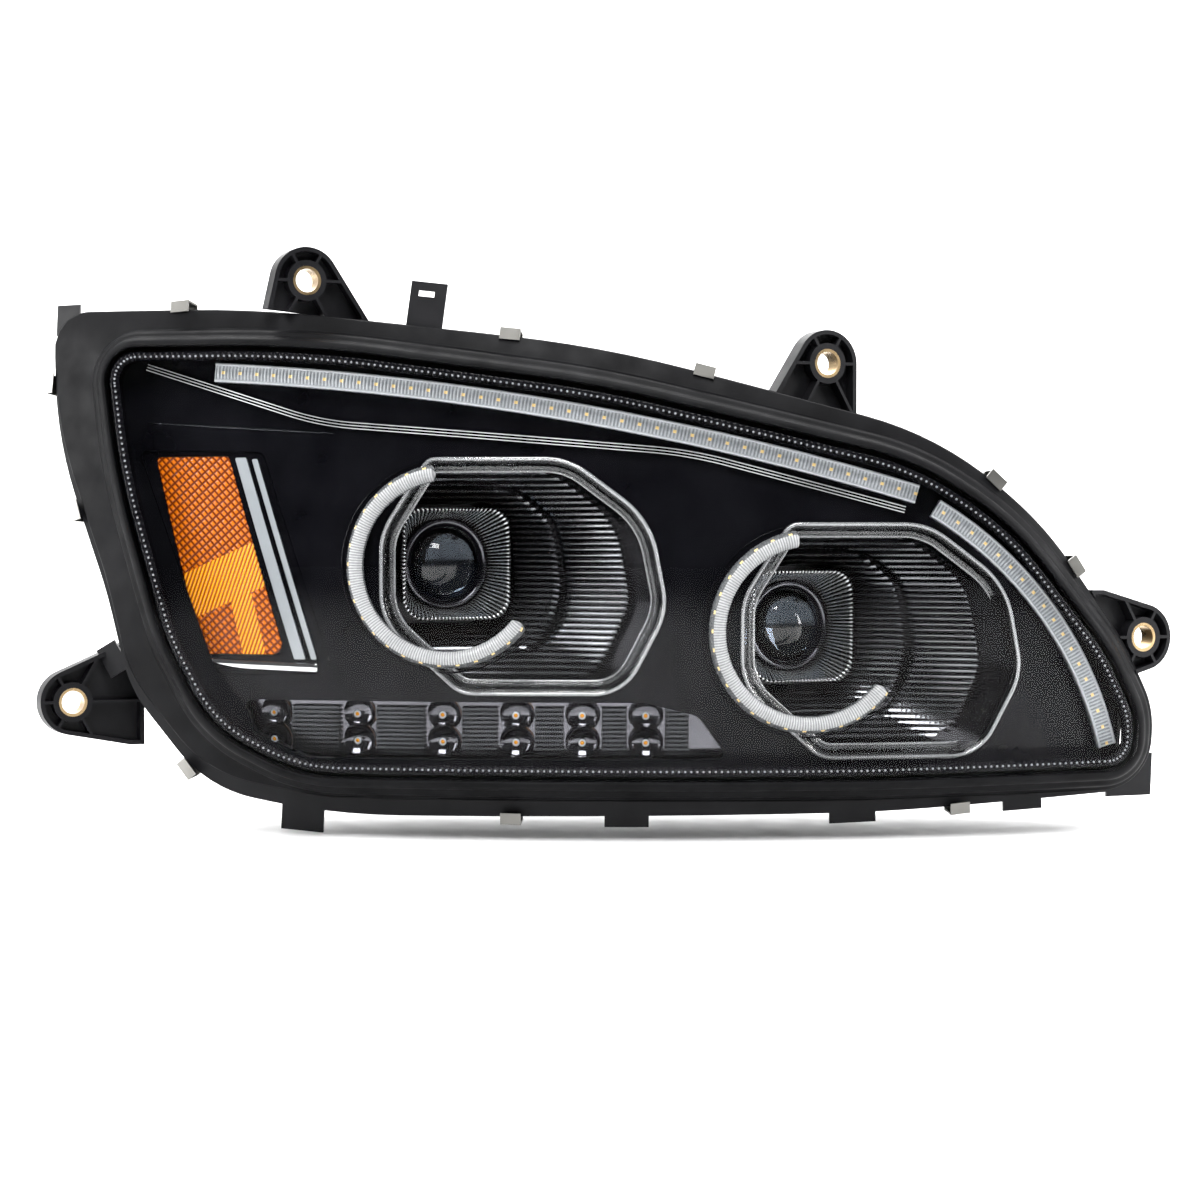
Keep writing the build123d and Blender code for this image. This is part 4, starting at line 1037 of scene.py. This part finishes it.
def side_ledge():
    """Bright sill under the side reflector."""
    left, right = (Vector(end) for end in LEDGE)
    rows = []
    for k in range(LEDGE_STEPS + 1):
        spot = left.lerp(right, k / LEDGE_STEPS)
        rows.append([on_skin(spot.x, spot.y + up, depth) for up, depth in LEDGE_SECTION])
    obj = surface("side_ledge", rows, caps=True)
    finish_piece(obj, "lamp", "mirror_bowls", chrome)


# ---- studio ----
CAMERA_AWAY = 1800
CAMERA_UP = 42
CAMERA_LENS = 81.8
LIGHT_AIM_W = -60
# Softboxes: place in face axes, side in metres, watts.
SOFTBOXES = {
    "top": ((0, 1650, 1050), 1.2, 60),
    "outboard": ((-2100, 600, 150), 1.2, 42),
    "inboard": ((2200, 600, 150), 1.2, 48),
    "rear": ((0, 1300, -2000), 2.0, 34),
}


def aim(obj, spot, target):
    """Puts a light or the camera at a spot and turns it to a target."""
    obj.location = spot
    obj.rotation_euler = (target - obj.location).to_track_quat("-Z", "Y").to_euler()


def softbox(name, spot, size, power):
    """Square area light that looks at the lamp, placed in face axes."""
    data = bpy.data.lights.new(name, "AREA")
    data.size = size
    data.energy = power
    obj = bpy.data.objects.new(name, data)
    bpy.context.collection.objects.link(obj)
    aim(obj, place(*spot), place(0, 0, LIGHT_AIM_W))


WALL_AWAY = 3600
WALL_HALF = 9000
WALL_LIGHT = 420
WALL_LIGHT_SIZE = (6, 1.5)
WALL_LIGHT_SPOT = (0, 3200, -1500)
WALL_LIGHT_HEIGHT = 600
# The backdrop's bend, its height above it and how far its foot lies below the floor, in metres.
WALL_BEND = 1.5
WALL_HEIGHT = 8
WALL_SUNK = 0.002
BEND_STEPS = 12


def backdrop(ground):
    """Pale wall far behind the lamp that curves up from the floor, lit on its own."""
    rows = []
    for across in (-WALL_HALF, WALL_HALF):
        foot = place(across, 0, -WALL_AWAY)
        start = Vector((foot.x, foot.y, ground - WALL_SUNK))
        row = []
        for k in range(BEND_STEPS + 1):
            turn = radians(90) * k / BEND_STEPS
            forward = W_AXIS * (WALL_BEND * sin(turn) - WALL_BEND)
            row.append(start - forward + V_AXIS * (WALL_BEND - WALL_BEND * cos(turn)))
        row.append(row[-1] + V_AXIS * WALL_HEIGHT)
        rows.append(row)
    wall = surface("backdrop", rows, loop_columns=False)
    wall.data.materials.append(moulded("pale_wall", (0.86, 0.86, 0.86), 0.7, grain=0.0, worn=1.02))
    data = bpy.data.lights.new("wall_light", "AREA")
    data.shape = "RECTANGLE"
    data.size, data.size_y = WALL_LIGHT_SIZE
    data.energy = WALL_LIGHT
    lamp = bpy.data.objects.new("wall_light", data)
    bpy.context.collection.objects.link(lamp)
    aim(lamp, place(*WALL_LIGHT_SPOT), place(0, WALL_LIGHT_HEIGHT, -WALL_AWAY))


def studio():
    """Pale floor, soft lights, dim surroundings and the camera."""
    low, high = cad_box
    middle = (low + high) / 2
    bpy.ops.mesh.primitive_plane_add(size=40, location=(middle.x, middle.y, low.z - 0.001))
    floor = bpy.context.active_object
    floor.name = "floor"
    floor.data.materials.append(moulded("pale_floor", (0.82, 0.82, 0.82), 0.6, grain=0.0, worn=1.02))
    backdrop(low.z)
    for name, (spot, size, power) in SOFTBOXES.items():
        softbox(name, spot, size, power)
    world = bpy.data.worlds.new("surroundings")
    world.use_nodes = True
    sky = world.node_tree.nodes["Background"].inputs
    sky["Color"].default_value = (0.95, 0.97, 1, 1)
    sky["Strength"].default_value = 0.08
    bpy.context.scene.world = world
    camera = bpy.data.objects.new("camera", bpy.data.cameras.new("camera"))
    camera.data.lens = CAMERA_LENS
    aim(camera, place(0, CAMERA_UP, CAMERA_AWAY), place(0, 0, 0))
    bpy.context.collection.objects.link(camera)
    bpy.context.scene.camera = camera
    bpy.context.scene.view_settings.view_transform = "Standard"


dress_nodes()
gasket()
edge_band()
daytime_guide("daytime_light_guide", LONG_BAR)
daytime_guide("swept_light_guide", SWEPT_BAR)
eyebrow()
for beam in HALOS:
    halo(beam)
    seat_line(beam)
    accent_ring(beam)
    pocket(beam)
    shroud(beam)
    lens_collar(beam)
turn_leds()
crease()
side_ledge()
studio()

bpy.context.view_layer.update()
